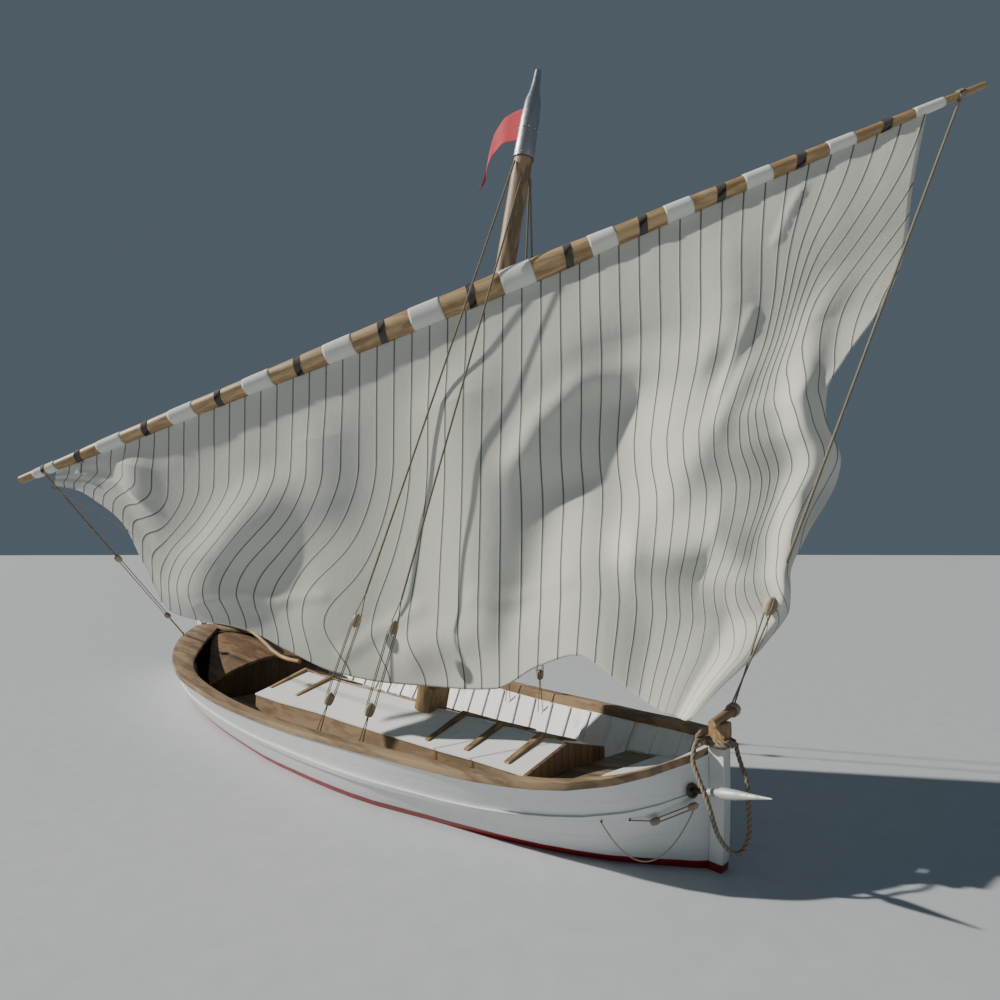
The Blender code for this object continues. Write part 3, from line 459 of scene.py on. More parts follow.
# finishes

# what lines, fibres and patches add, what is taken off, and where dark, middle and light tone lie
woodLook = {"lines": 0.42, "fibre": 0.38, "patch": 0.3, "less": 0.05, "stops": (0.12, 0.36, 0.66),
            "rough": 0.52, "seam": (38, 28, 22)}


def woodPaint(name, along, light, dark, grain, swirl, boards=None):
    # along the grain run stretched noise, wavy growth lines from its contours, and fine fibres
    light, dark = tone(*light), tone(*dark)
    paint = Paint(name)
    place = paint.place()
    along = unit(along)
    sideways = unit(np.cross(along, (0, 0, 1) if abs(along[2]) < 0.8 else (0, 1, 0)))
    upward = np.cross(sideways, along)
    run, across, over = (paint.dot(place, direction) for direction in (along, sideways, upward))
    slow = paint.noise(paint.join(run, across * 5, over * 5), 1.7 * grain, 3, 0.55, 0.6)
    lines = paint.maths("SINE", slow * swirl + across * 18 * grain) * 0.5 + 0.5
    fibre = paint.noise(paint.join(run * 5, across * 110, over * 110), grain, 4, 0.6)
    patch = paint.noise(place, 2.2, 3)
    value = lines * woodLook["lines"] + fibre * woodLook["fibre"] + patch * woodLook["patch"]
    value = value - woodLook["less"]
    middle = tuple((a + b) / 2 for a, b in zip(dark, light))
    colour = paint.ramp(value, tuple(zip(woodLook["stops"], (dark, middle, light))))
    height = fibre * 0.5 + lines * 0.25
    if boards:
        direction, width, line = boards
        seam, number = paint.seams(paint.dot(place, unit(direction)), width, line)
        shade = number * 0.3 + 0.78
        colour = paint.mix(colour, paint.join(shade, shade, shade), 1, "MULTIPLY")
        colour = paint.mix(colour, woodLook["seam"], seam * 0.85)
        height = height - seam * 2.5
    return paint.finish(colour, woodLook["rough"] + fibre * 0.22 - 0.1, height, 0.0016, 0.55)


def whitePaint(name, base, grimeTone, grime, rough):
    # brush marks, small dents, and dirt where the noise is high
    paint = Paint(name)
    place = paint.place()
    x, y, z = paint.parts(place)
    brush = paint.noise(paint.join(x * 3, y * 3, z * 30), 2, 3)
    dents = paint.noise(place, 14, 4)
    dirt = paint.rise(paint.noise(paint.join(x * 2.5, y * 2.5, z * 0.8), 2.6, 5, 0.62), 0.5, 0.78)
    colour = paint.mix(base, grimeTone, dirt * grime)
    return paint.finish(colour, rough + dirt * 0.25 + brush * 0.1, brush * 0.4 + dents * 0.8, 0.0022, 0.5)


# widths of strakes and planks with their seams, and the limits between which a colour fades
hullLook = {"strake": (0.125, 0.006), "sheer": 0.012, "plank": (0.11, 0.007), "paintLine": (0.05, 0.056),
            "unevenLine": 0.008, "low": (0.05, 0.3), "floorTop": (0.05, 0.09), "sternCentre": 2.2,
            "sternEnd": (-2.75, -2.6)}


def redBottom(paint, place, pattern):
    # where the red bottom lies, below a slightly uneven line, and its colour
    edge = paint.noise(place, 5, 3) * hullLook["unevenLine"] + paint.parts(place)[2]
    red = paint.mix((172, 22, 28), (116, 14, 20), pattern)
    return 1 - paint.rise(edge, *hullLook["paintLine"]), red


def hullPaint():
    # white over a red bottom, with strakes at equal z - sheer x x squared; the floor inside is bare wood,
    # and the stern where it looks towards its own centre is dark brown, painted shade
    paint = Paint("hullPaint", Coat_Weight=0.15)
    place = paint.place()
    x, y, z = paint.parts(place)
    normal = paint.add("NewGeometry", {}, {}, 1)
    facing = paint.dot(normal, (0, 0, 1))
    sheer = z - hullLook["sheer"] * (x * x)
    seam, _ = paint.seams(sheer + 2, *hullLook["strake"])
    brush = paint.noise(paint.join(x * 2, y * 6, z * 34), 2, 3)
    dents = paint.noise(paint.join(x * 3, y * 3, sheer * 9), 3, 4)
    streak = paint.rise(paint.noise(paint.join(x * 7, y * 7, z * 0.9), 3, 5, 0.6), 0.52, 0.8)
    low = 1 - paint.rise(z, *hullLook["low"])
    white = paint.mix((228, 231, 230), (168, 170, 162), streak * 0.16 + low * 0.1)
    white = paint.mix(white, (196, 200, 200), seam * 0.12)
    under, red = redBottom(paint, place, dents)
    colour = paint.mix(white, red, under)
    plank, _ = paint.seams(y + 3, *hullLook["plank"])
    grain = paint.noise(paint.join(x * 1.5, y * 40, 0), 1, 4)
    floor = paint.mix((104, 74, 48), (74, 52, 34), grain)
    inside = paint.rise(facing, 0.75, 0.9) * (1 - paint.rise(z, *hullLook["floorTop"]))
    colour = paint.mix(colour, paint.mix(floor, (30, 22, 18), plank * 0.8), inside)
    nx, ny, _ = paint.parts(normal)
    # painted shade: the inside of the stern is darkened to dark brown
    sternInsideShade = paint.rise(0 - (nx * (x + hullLook["sternCentre"]) + ny * y), 0, 0.05)
    sternInsideShade = sternInsideShade * (1 - paint.rise(x, *hullLook["sternEnd"]))
    colour = paint.mix(colour, paint.mix((88, 66, 48), (50, 38, 30), dents), sternInsideShade)
    height = brush * 0.3 + dents * 1.2 - seam * 0.7
    return paint.finish(colour, 0.36 + streak * 0.2 + inside * 0.25, height, 0.003, 0.55)


def postPaint():
    # red under the paint line, white above
    paint = Paint("postPaint", Coat_Weight=0.1)
    place = paint.place()
    x, y, z = paint.parts(place)
    grain = paint.noise(paint.join(x * 40, y * 40, z * 3), 1, 4)
    dirt = paint.rise(paint.noise(place, 7, 5, 0.62), 0.52, 0.78)
    white = paint.mix((226, 228, 224), (158, 152, 138), dirt * 0.32)
    under, red = redBottom(paint, place, grain)
    colour = paint.mix(white, red, under)
    return paint.finish(colour, 0.42 + dirt * 0.25, grain + dirt, 0.0018, 0.6)


# half widths of a seam's line and of the overlap beside it, as shares of a cloth
clothLook = {"line": (0.022, 0.052), "overlap": (0.05, 0.085)}


def clothPaint(name, light, shade, seamTone, seamCount, weave):
    # a dark line at every joint across U; V, how close the seams are drawn, keeps the line's own width
    paint = Paint(name, Sheen_Weight=0.25)
    u, v, _ = paint.parts(paint.uv())
    place = paint.place()
    fromEdge, number = paint.boards(u * seamCount)
    fromEdge = fromEdge / v
    line = 1 - paint.rise(fromEdge, *clothLook["line"])
    overlap = 1 - paint.rise(fromEdge, *clothLook["overlap"])
    stain = paint.noise(place, 1.3, 4, 0.6)
    threads = paint.maths("SINE", u * weave * 6) * paint.maths("SINE", paint.parts(place)[2] * weave * 2)
    crease = paint.noise(place, 9, 5, 0.6, 0.4)
    colour = paint.mix(light, shade, stain * 0.65 + number * 0.12 - 0.1)
    colour = paint.mix(colour, seamTone, line * 0.86)
    height = crease * 1.4 + overlap * 0.5 + threads * 0.05
    return paint.finish(colour, 0.86 + stain * 0.08, height, 0.004, 0.5)


def ropePaint(name, light, dark):
    # painted shade in the grooves between the strands, which follow the rope's own UV, and loose fibres over
    # them
    paint = Paint(name)
    u, v, _ = paint.parts(paint.uv())
    place = paint.place()
    fuzz = paint.noise(place, 160, 3, 0.6)
    slow = paint.noise(place, 9, 3)
    colour = paint.mix(dark, light, fuzz * 0.6 + slow * 0.5)
    lobe = paint.maths("ABSOLUTE", paint.maths("COSINE", (u - v) * (layShape["strands"] * math.pi)))
    yarn = paint.maths("SINE", (u + v) * (22 * math.tau))
    # painted shade: the grooves between the strands are darkened
    colour = paint.mix(darker(dark, 0.35), colour, paint.rise(lobe, 0.08, 0.55))
    return paint.finish(colour, 0.9, fuzz + yarn * 0.25, 0.0012, 0.7)


def metalPaint(name, base, rough, metallic):
    # scratches round it, darker spots, and roughness that follows both
    paint = Paint(name, Metallic=metallic)
    place = paint.place()
    x, y, z = paint.parts(place)
    scratch = paint.noise(paint.join(x * 20, y * 20, z * 160), 1, 3)
    spots = paint.rise(paint.noise(place, 26, 5, 0.65), 0.45, 0.75)
    colour = paint.mix(base, darker(base, 0.45), spots * 0.55)
    return paint.finish(colour, rough + spots * 0.22 + scratch * 0.12, scratch + spots, 0.0008, 0.5)


# the nominal length and depth turn shares of the yard and of the sail's drop into metres
mastAxis = (1.191, 0, 4.7)
yardLine = {"low": (-1.5055, -2.855, 2.554), "high": (5.7645, 1.825, 5.231)}
yardAxis = unit(np.subtract(yardLine["high"], yardLine["low"]))
yardLength = 9
sailDepth = 3.4

# grain's direction, light and dark tone, fineness, waviness; boards: direction across, width, seam
woodRows = {
    "railWood": ((1, 0, 0), (160, 136, 106), (100, 80, 60), 1.8, 9),
    "deckWood": ((1, 0, 0), (150, 131, 106), (104, 86, 66), 1.6, 9, ((0, 1, 0), 0.12, 0.004)),
    "trunkWood": ((1, 0, 0), (150, 128, 100), (98, 79, 60), 1.7, 9),
    "boardWood": ((0, 0, 1), (122, 96, 70), (70, 52, 38), 1.4, 8, ((0, 1, 0), 0.075, 0.006)),
    "battenWood": ((0, 1, 0), (168, 140, 104), (96, 74, 50), 1.6, 10),
    "aftWood": ((1, 0, 0), (150, 118, 84), (84, 60, 42), 1, 18, ((0, 1, 0), 0.36, 0.005)),
    # dark wood; on the aft bulkhead its dark tone is also painted shade
    "darkWood": ((0, 0, 1), (98, 76, 56), (54, 40, 30), 1.4, 8, ((0, 1, 0), 0.12, 0.008)),
    "stemWood": ((0, 0, 1), (186, 152, 108), (112, 84, 56), 1.8, 12),
    "logWood": ((0, 1, 0.1), (188, 156, 114), (116, 88, 60), 2, 12),
    "mastWood": (mastAxis, (160, 136, 108), (78, 62, 48), 1.6, 16),
    "yardWood": (yardAxis, (196, 166, 124), (126, 98, 66), 1.7, 12),
    "tillerWood": ((1, 0, 0), (196, 164, 122), (130, 98, 66), 1.5, 10),
    "blockWood": ((0, 0, 1), (178, 162, 136), (116, 102, 82), 3, 8)}
# tone, tone of the dirt, how much of it, roughness
whiteRows = {
    "plainWhite": ((226, 228, 226), (150, 146, 134), 0.22, 0.42),
    "roofWhite": ((232, 233, 232), (176, 170, 158), 0.25, 0.5),
    "ribWhite": ((230, 232, 232), (150, 146, 136), 0.35, 0.42),
    "wrapCloth": ((226, 228, 221), (180, 180, 168), 0.25, 0.85)}
# light and dark tone
ropeRows = {
    "ropeGrey": ((172, 160, 138), (98, 88, 72)),
    "ropePale": ((222, 211, 188), (158, 146, 122)),
    "ropeTan": ((172, 156, 134), (104, 92, 76)),
    "ropeDark": ((104, 99, 95), (60, 58, 58))}
# tone, roughness, how metallic
metalRows = {
    "capMetal": ((176, 180, 184), 0.3, 0.9),
    "ironMetal": ((74, 70, 66), 0.5, 0.7),
    "ringMetal": ((98, 88, 78), 0.6, 0.35),
    "spikeMetal": ((196, 200, 194), 0.48, 0.45)}
# light tone, shade, tone of the seams, cloths side by side, threads
clothRows = {
    "sailCloth": ((222, 223, 213), (198, 198, 186), (62, 68, 74), 48, 900),
    "pennantCloth": ((206, 62, 78), (186, 50, 64), (192, 54, 68), 2, 200)}

finishes.update({"hullPaint": hullPaint(), "postPaint": postPaint()})
for makePaint, rows in ((woodPaint, woodRows), (whitePaint, whiteRows), (ropePaint, ropeRows),
                        (metalPaint, metalRows), (clothPaint, clothRows)):
    finishes.update({name: makePaint(name, *row) for name, row in rows.items()})
print("finishes: %d" % len(finishes))


# the boat's own pieces

# finish, ease of the edges, least angle that stays sharp, and the CAD pieces with that look
pieceLooks = (
    ("hullPaint", 0, 30, "hull"), ("postPaint", 0.006, 35, "stem_post", "stern_post"),
    ("postPaint", 0, 35, "keel"), ("stemWood", 0.007, 35, "stem_head"), ("logWood", 0.005, 50, "stem_log"),
    ("railWood", 0.006, 32, "cap_rail_port", "cap_rail_starboard"),
    ("ribWhite", 0, 35, "frames_port", "frames_starboard", "bow_frames_port", "bow_frames_starboard"),
    ("deckWood", 0, 30, "main_deck", "foredeck"), ("trunkWood", 0, 30, "trunk"),
    ("roofWhite", 0.003, 25, "roof"), ("boardWood", 0.003, 30, "trunk_fascia"),
    ("plainWhite", 0.004, 30, "bow_platform"), ("aftWood", 0.004, 30, "aft_deck"),
    # the aft bulkhead's dark tone is painted shade
    ("darkWood", 0, 30, "aft_bulkhead"), ("darkWood", 0, 50, "spike_shaft"),
    ("battenWood", 0.004, 35, *("roof_batten_%d" % number for number in range(1, 6))),
    ("mastWood", 0, 40, "mast"), ("stemWood", 0.006, 35, "mast_partner"), ("capMetal", 0, 40, "mast_cap"),
    ("ringMetal", 0, 50, "hawse_ring"), ("spikeMetal", 0, 50, "spike_nose"),
    ("ironMetal", 0.001, 35, "gudgeon_1", "gudgeon_2"), ("ironMetal", 0, 40, "pintle_1", "pintle_2"),
    ("postPaint", 0.004, 40, "rudder"), ("tillerWood", 0, 40, "tiller"), ("ropePale", 0, 50, "parrel"))
turning = {**dict.fromkeys(("rudder", "tiller", "pintle_1", "pintle_2"), "rudder"), "parrel": "yard"}

for finish, edge, smooth, *names in pieceLooks:
    for nodeName in names:
        dress(nodeName, finish, edge, smooth, turning.get(nodeName, "boat"))
print("hull and deck")


# the yard, its wraps and lashings

yardSetup = {
    "wraps": ((0.0333, 0.064), (0.1225, 0.1543), (0.2161, 0.2462), (0.3071, 0.3385), (0.4001, 0.4313),
              (0.4931, 0.5252), (0.5858, 0.6169), (0.6712, 0.6954), (0.7401, 0.7641), (0.8092, 0.832),
              (0.8782, 0.8999), (0.9469, 0.9698)),
    "lashings": (0.095, 0.1844, 0.2763, 0.3693, 0.4625, 0.5547, 0.6499, 0.7187, 0.7875, 0.8547, 0.9239),
    "wrapDepth": 0.0035, "lashingWidth": 0.0074, "lashingDepth": 0.0045, "lashingTurns": 6,
    "lashingSlant": 0.0016, "hidden": -0.004, "knots": 0.0018, "tip": 0.004, "tipShare": 0.82}
# two spars lashed into one pole: share of the yard, top, bottom, half width, shift away from the mast
poleRows = (
    (0.0135, 0.04, -0.04, 0.04, 0), (0.15, 0.065, -0.065, 0.065, 0), (0.3, 0.078, -0.078, 0.078, 0),
    (0.4, 0.085, -0.095, 0.072, 0.008), (0.48, 0.092, -0.109, 0.064, 0.012),
    (0.56, 0.097, -0.11, 0.056, 0.003), (0.62, 0.098, -0.109, 0.063, 0.006), (0.7, 0.078, -0.08, 0.078, 0),
    (0.85, 0.056, -0.056, 0.056, 0), (1, 0.024, -0.024, 0.024, 0))
yardSide = unit(np.cross(yardAxis, (0, 0, 1)))
yardUp = np.cross(yardSide, yardAxis)


def onYard(share):
    low, high = np.array((yardLine["low"], yardLine["high"]))
    return low + by(high - low, share)


def yardSection(share, angle, offset):
    # oval: shift + half width x cos a to the side, and from bottom to top with sin a
    keys, *columns = zip(*poleRows)
    top, bottom, width, shift = (softCurve(share, keys, column) for column in columns)
    return (onYard(share) + by(yardSide, shift + (width + offset) * np.cos(angle))
            + by(yardUp, (top + bottom) / 2 + ((top - bottom) / 2 + offset) * np.sin(angle)))


def makePole(setup):
    # the section offset by knots x sin(61 share) x cos(a - 9 share), closed by a smaller ring and a point
    first, last, near = poleRows[0][0], poleRows[-1][0], np.array([0, 0.0003, 0.0008])
    share = np.concatenate([first + near, np.linspace(0.015, 0.9985, 260), last - near[::-1]])[:, None]
    angle = fullTurn(41)[None, :]
    knots = setup["knots"] * np.sin(share * 61) * np.cos(angle - share * 9) - 0.001
    points = yardSection(share, angle, knots)
    ends = []
    for row, way in ((points[0], -1), (points[-1], 1)):
        middle = row[:-1].mean(0)
        outward = yardAxis * setup["tip"] * way
        rounded = middle + (row - middle) * setup["tipShare"] + outward
        ends.append([rounded, np.tile(middle + outward * 1.2, (len(row), 1))])
    points = np.concatenate([np.array(ends[0][::-1]), points, np.array(ends[1])])
    run = np.concatenate([share[:1], share[:1], share, share[-1:], share[-1:]])
    uv = pair(angle / math.tau, run * yardLength)
    pole = surface("yard_pole", [(points[:, ::-1], uv[:, ::-1])], "yardWood")
    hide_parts("yard_lower", "yard_upper")
    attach(pole, "yard")


def sleeve(first, last, depth, turns=0, slant=0):
    # closed band round the yard, out from under its skin and back in; its depth falls off with
    # |2t - 1|^14, or makes a ridge |sin| for each turn
    t = np.linspace(0, 1, turns * 8 or 18)
    offset = depth * (1 - np.abs(2 * t - 1) ** 14 * 0.7)
    if turns:
        offset = depth * (0.8 + 0.2 * np.abs(np.sin(math.pi * turns * t)))
    hidden = [yardSetup["hidden"]]
    share = np.concatenate([[first], first + (last - first) * t, [last, first]])[:, None]
    offset = np.concatenate([hidden, offset, hidden, hidden])[:, None]
    angle = fullTurn(41)[None, :]
    points = yardSection(share + slant * np.cos(angle - 0.6), angle, offset)
    uv = pair(angle / math.tau, share * yardLength)
    return points[:, ::-1], uv[:, ::-1]


def makeYardTrim(setup):
    wraps = [sleeve(first, last, setup["wrapDepth"]) for first, last in setup["wraps"]]
    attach(surface("yard_wraps", wraps, "wrapCloth"), "yard")
    half = setup["lashingWidth"] / 2
    look = setup["lashingDepth"], setup["lashingTurns"], setup["lashingSlant"]
    bands = [sleeve(share - half, share + half, *look) for share in setup["lashings"]]
    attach(surface("yard_lashings", bands, "ropeDark"), "yard")


makePole(yardSetup)
makeYardTrim(yardSetup)
print("yard")


# the sail

sailSetup = {"columns": 236, "rows": 176, "thick": 0.003, "gap": 0.003, "facing": (0.541, -0.841, 0)}
# share of the yard, foot of the sail below it: x, y, z
footRows = (
    (0.06, -1.06, -2.57, 2.52), (0.09, -0.83, -2.42, 2.47), (0.12, -0.61, -2.27, 2.34),
    (0.15, -0.37, -2.12, 2.15), (0.18, -0.13, -1.97, 1.73), (0.21, 0.11, -1.82, 1.34),
    (0.25, 0.4, -1.63, 1.25), (0.3, 0.77, -1.41, 1.2), (0.35, 1.15, -1.18, 1.03),
    (0.41, 1.6, -0.93, 0.86), (0.47, 2.06, -0.7, 0.81), (0.53, 2.56, -0.51, 0.82),
    (0.58, 2.97, -0.39, 0.86), (0.62, 3.3, -0.3, 1.05), (0.66, 3.62, -0.23, 1.16),
    (0.7, 3.88, -0.18, 1.03), (0.74, 4.06, -0.14, 0.92), (0.8, 4.22, -0.11, 0.85),
    (0.88, 4.31, -0.095, 0.84), (0.957, 4.36, -0.085, 0.85))
# free edge from the clew up to the yard: height, x, y
leechRows = (
    (0.85, 4.36, -0.085), (1.02, 4.47, 0.06), (1.3, 4.67, 0.3), (1.53, 4.76, 0.43), (1.7, 4.76, 0.43),
    (1.94, 4.83, 0.55), (2.33, 4.97, 0.79), (2.47, 4.99, 0.82), (2.75, 4.94, 0.73), (2.91, 4.95, 0.74),
    (3.15, 5.03, 0.88), (3.63, 5.22, 1.23), (4.02, 5.31, 1.39), (4.47, 5.36, 1.47), (5.08, 5.45, 1.62))
# half width of a fold, its height to starboard, and its line as shares of the yard and of the drop
folds = (
    (0.22, 0.05, ((0.165, 0.1), (0.17, 0.5))),
    (0.34, 0.078, ((0.335, 0.45), (0.295, 0.6), (0.262, 0.72), (0.25, 0.86))),
    (0.3, -0.03, ((0.35, 0.7), (0.34, 0.92))),
    (0.3, 0.045, ((0.385, 0.2), (0.395, 0.44))),
    (0.36, 0.06, ((0.545, 0.22), (0.555, 0.5), (0.56, 0.74))),
    (0.5, -0.22, ((0.7, 0.43), (0.69, 0.58))),
    (0.3, -0.09, ((0.632, 0.6), (0.622, 0.7), (0.612, 0.8))),
    (0.4, -0.07, ((0.74, 0.9), (0.84, 0.9))),
    (0.24, 0.05, ((0.795, 0.14), (0.8, 0.3))),
    (0.17, 0.13, ((0.716, 0.735), (0.804, 0.716), (0.869, 0.776), (0.937, 0.816))),
    (0.22, 0.05, ((0.5, 0.9), (0.565, 0.86))))
# fold beside the free edge, which grows from nothing at its upper end
edgeFold = ((0.16, 0.085, ((0.901, 0.264), (0.885, 0.35), (0.914, 0.482), (0.93, 0.59),
                           (0.91, 0.662), (0.926, 0.729), (0.946, 0.799))),)
# small creases, in the same columns
creases = (
    (0.16, 0.05, ((0.774, 0.356), (0.714, 0.328), (0.657, 0.348), (0.618, 0.404), (0.604, 0.46))),
    (0.16, 0.03, ((0.824, 0.431), (0.811, 0.504), (0.762, 0.591), (0.715, 0.68), (0.7, 0.74))),
    (0.035, 0.015, ((0.858, 0.055), (0.849, 0.093), (0.84, 0.145))),
    (0.05, 0.015, ((0.819, 0.283), (0.81, 0.346), (0.806, 0.431))),
    (0.06, 0.03, ((0.092, 0.1), (0.094, 0.4))),
    (0.08, 0.012, ((0.42, 0.94), (0.455, 0.86), (0.5, 0.8))),
    (0.07, 0.009, ((0.318, 0.9), (0.35, 0.82), (0.395, 0.77))),
    (0.07, 0.008, ((0.25, 0.93), (0.3, 0.86), (0.345, 0.84))),
    (0.08, 0.012, ((0.56, 0.78), (0.6, 0.815), (0.64, 0.83))))
# share of the yard, how far a seam has drifted along it at the foot
driftRows = ((0.06, 0), (0.13, 0.03), (0.19, 0.057), (0.233, 0.079), (0.294, 0.081), (0.37, 0.083),
             (0.45, 0.04), (0.53, 0.005), (0.6, 0), (0.96, 0))
# seams drawn to the free edge: how far, shares where that begins and is full, drop and half height
edgeDrifts = ((0.08, (0.83, 0.885), (0.34, 0.17)), (0.035, (0.85, 0.89), (0.69, 0.09)))


def sailHead(share):
    # just below the pole
    keys, _, bottoms = zip(*(row[:3] for row in poleRows))
    return onYard(share) + by(yardUp, softCurve(share, keys, bottoms) + sailSetup["gap"])


def sailPoints(share, drop):
    # head + (foot - head) x drop; towards the peak the free edge's distance from its chord is added
    keys, *foot = zip(*footRows)
    heights, leechX, leechY = np.array(leechRows).T
    top = sailHead(share)
    low = np.stack([softCurve(share, keys, column) for column in foot], -1)
    clew = np.array([leechX[0], leechY[0], heights[0]])
    peakShare = np.array(keys[-1])
    peak = sailHead(peakShare)
    height = peak[2] + (clew[2] - peak[2]) * drop
    edge = np.stack([softCurve(height, heights, leechX), softCurve(height, heights, leechY), height], -1)
    pull = np.clip((share - 0.55) / (peakShare - 0.55), 0, 1) ** 2
    chord = peak + by(clew - peak, drop)
    return top + (low - top) * drop[..., None] + (edge - chord) * pull[..., None]


def ridges(rows, share, drop):
    # sum of ridges: height x exp(-(distance to the ridge's line / half width)^2)
    across, down = share * yardLength, drop * sailDepth
    total = np.zeros_like(share)
    for width, height, line in rows:
        near = np.inf
        line = np.array(line) * (yardLength, sailDepth)
        for (x, y), (dx, dy) in zip(line, np.diff(line, axis=0)):
            along = np.clip(((across - x) * dx + (down - y) * dy) / (dx ** 2 + dy ** 2), 0, 1)
            near = np.minimum(near, np.hypot(across - x - along * dx, down - y - along * dy))
        total += height * np.exp(-(near / width) ** 2)
    return total


def foldHeight(share, drop):
    # the folds fade out at the yard; a slow billow and small creases lie over them
    across, down = share * yardLength, drop * sailDepth
    fade = np.clip(drop * 4, 0, 1) ** 2
    billow = 0.007 * np.sin(across * 5.3 + 2.2 * np.sin(down * 1.7)) * np.sin(down * 2.9 + across)
    gathers = 0.004 * np.cos(across * 13.3 + np.sin(across * 3.1)) * np.exp(-drop * 11)
    edge = ridges(edgeFold, share, drop) * np.clip((drop - 0.24) / 0.26, 0, 1)
    return ((ridges(folds, share, drop) + edge + billow) * fade + ridges(creases, share, drop)
            + gathers * np.clip(drop * 40, 0, 1))


def seamShare(share, drop):
    # seams run down the columns, and lean where the cloth is drawn sideways
    drift = softCurve(share, *zip(*driftRows)) * smoothStep(drop, 0.36, 0.86)
    middle = smoothStep(share, 0.2, 0.3) * (1 - smoothStep(share, 0.5, 0.6))
    drift = drift - 0.01 * smoothStep(drop, 0.86, 1) * middle
    for most, rise, (centre, half) in edgeDrifts:
        drift = drift + most * smoothStep(share, *rise) * np.exp(-((drop - centre) / half) ** 2)
    return share + drift - 0.05 * smoothStep(share, 0.78, 0.9) * smoothStep(drop, 0.8, 0.92)


def makeSail(setup):
    first, last = footRows[0][0], footRows[-1][0]
    share, drop = np.meshgrid(np.linspace(first, last, setup["columns"]),
                              np.linspace(0, 1, setup["rows"]), indexing="ij")
    points = sailPoints(share, drop) + by(np.array(setup["facing"]), foldHeight(share, drop))
    seam = seamShare(share, drop)
    stretch = np.clip(np.gradient(seam, axis=0) / np.gradient(share, axis=0), 0.4, 2.5)
    sail = surface("sail_cloth", [(points, pair((seam - first) / (last - first), stretch))], "sailCloth")
    area = thicken(sail, setup["thick"])
    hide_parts("sail")
    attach(sail, "yard")
    print("sail: %.2f square metres" % area)


makeSail(sailSetup)


# the pennant

pennantSetup = {"columns": 60, "rows": 16, "ripple": 0.012, "thick": 0.002}
# y, upper edge x and z, lower edge x and z, along the pennant from the mast
pennantRows = ((0, 2.9346, 5.652, 2.8626, 5.4), (-0.012, 2.82, 5.675, 2.775, 5.422),
               (-0.02, 2.71, 5.678, 2.69, 5.445), (-0.012, 2.62, 5.655, 2.605, 5.452),
               (0, 2.548, 5.628, 2.525, 5.438), (0.012, 2.48, 5.525, 2.455, 5.37),
               (0.016, 2.425, 5.39, 2.405, 5.285), (0.012, 2.385, 5.275, 2.37, 5.21),
               (0, 2.352, 5.162, 2.346, 5.142))


def makePennant(setup):
    # from the upper to the lower edge, with a ripple x sin(2.2 at) that grows towards the tip
    at = np.linspace(0, len(pennantRows) - 1, setup["columns"])[:, None]
    keys = np.arange(len(pennantRows))
    y, topX, topZ, lowX, lowZ = (softCurve(at, keys, column) for column in zip(*pennantRows))
    share = np.linspace(0, 1, setup["rows"])[None, :]
    wave = setup["ripple"] * np.sin(at * 2.2) * (at / at[-1]) * (0.4 + share)
    points = np.stack([topX + (lowX - topX) * share, y + wave, topZ + (lowZ - topZ) * share], -1)
    flag = surface("pennant_cloth", [(points, pair(share, np.ones_like(at)))], "pennantCloth")
    area = thicken(flag, setup["thick"])
    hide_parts("pennant")
    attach(flag, "boat")
    print("pennant: %.3f square metres" % area)


makePennant(pennantSetup)


# shrouds

shroudSetup = {"rope": 0.018, "leg": 0.009, "fall": 0.008, "strop": 0.012, "pair": 0.029, "spread": 0.0062,
               "eye": 0.745, "blocks": (0.79, 0.92), "blockSize": (0.1, 0.076, 0.06)}


def rigging(name, ropes, blocks, axis, setup):
    # the ropes of a line, its blocks, and their strops
    long, wide, thick = setup["blockSize"]
    if "strop" in setup:
        ropes = ropes + [stropSheet(centre, axis, long, thick, setup["strop"]) for centre in blocks]
    shells = [pulleySheet(centre, axis, long, wide, thick) for centre in blocks]
    return surface(name + "_ropes", ropes, "ropeGrey"), surface(name + "_blocks", shells, "blockWood")


def makeShroud(number, setup):
    # between the CAD solid's ends: rope, eye, two legs, block, four falls, block, two legs
    solid = np.array([v.co for v in nodes["shroud_%d" % number].data.vertices], float)
    height = solid[:, 2]
    top = solid[height > height.max() - 0.002].mean(0)
    foot = solid[height < height.min() + 0.002].mean(0)
    upper, lower, eye = (top + (foot - top) * share for share in (*setup["blocks"], setup["eye"]))
    axis, side, _ = squareTo(foot - top, blockShape["facing"])
    ropes = [straightRope(top, eye, setup["rope"], around=10)]
    for way in (-1, 1):
        edge = side * way * setup["pair"]
        ropes.append(straightRope(eye, upper + edge * 1.1, setup["leg"], 0.006))
        ropes.append(straightRope(lower, foot + edge * 0.8, setup["leg"], 0.006))
        ropes += twoRopes(upper + edge, lower + edge, side * setup["spread"], setup["fall"], 0.006)
    rope, wood = rigging("shroud_%d" % number, ropes, (upper, lower), axis, setup)
    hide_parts("shroud_%d" % number)
    for piece in (rope, wood):
        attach(piece, "boat")


for number in range(1, 5):
    makeShroud(number, shroudSetup)
print("shrouds")


# tackles of the yard

tackleSetup = {"rope": 0.019, "fall": 0.011, "strop": 0.014, "spread": 0.022,
               "blockSize": (0.112, 0.082, 0.066), "bridle": 0.01, "turnShares": (0.0485, 0.9822),
               "turnHalf": 0.0022, "turnDepth": 0.01,
               "eyeRadius": 0.02, "eyeThick": 0.009, "shank": (0.016, 0.046), "shankRadius": 0.008}
# points from the yard down to the boat, and shares of the length where a block sits
sternLine = ((-1.15, -2.63, 2.625), (-3.335, -0.645, 0.69))
sternBlocks = (0.43, 0.84)
vangLine = ((5.634, 1.741, 5.155), (4.782, 0.266, 1.69), (4.5, 0.19, 0.925))
vangBlock = 0.2
bridleLine = ((-1.08, -2.585, 2.505), (-0.3, -2.085, 2.07))


def loopSheet(centre, axis, radius, thick):
    # ring round an axis: centre + radius x (cos t x one side + sin t x the other)
    t = fullTurn(41)[:, None]
    axis, first, second = squareTo(axis, (0.31, 0.2, 1))
    path = centre + radius * (np.cos(t) * first + np.sin(t) * second)
    return sweepSheet(path, thick / 2, 10, axis, capped=False)


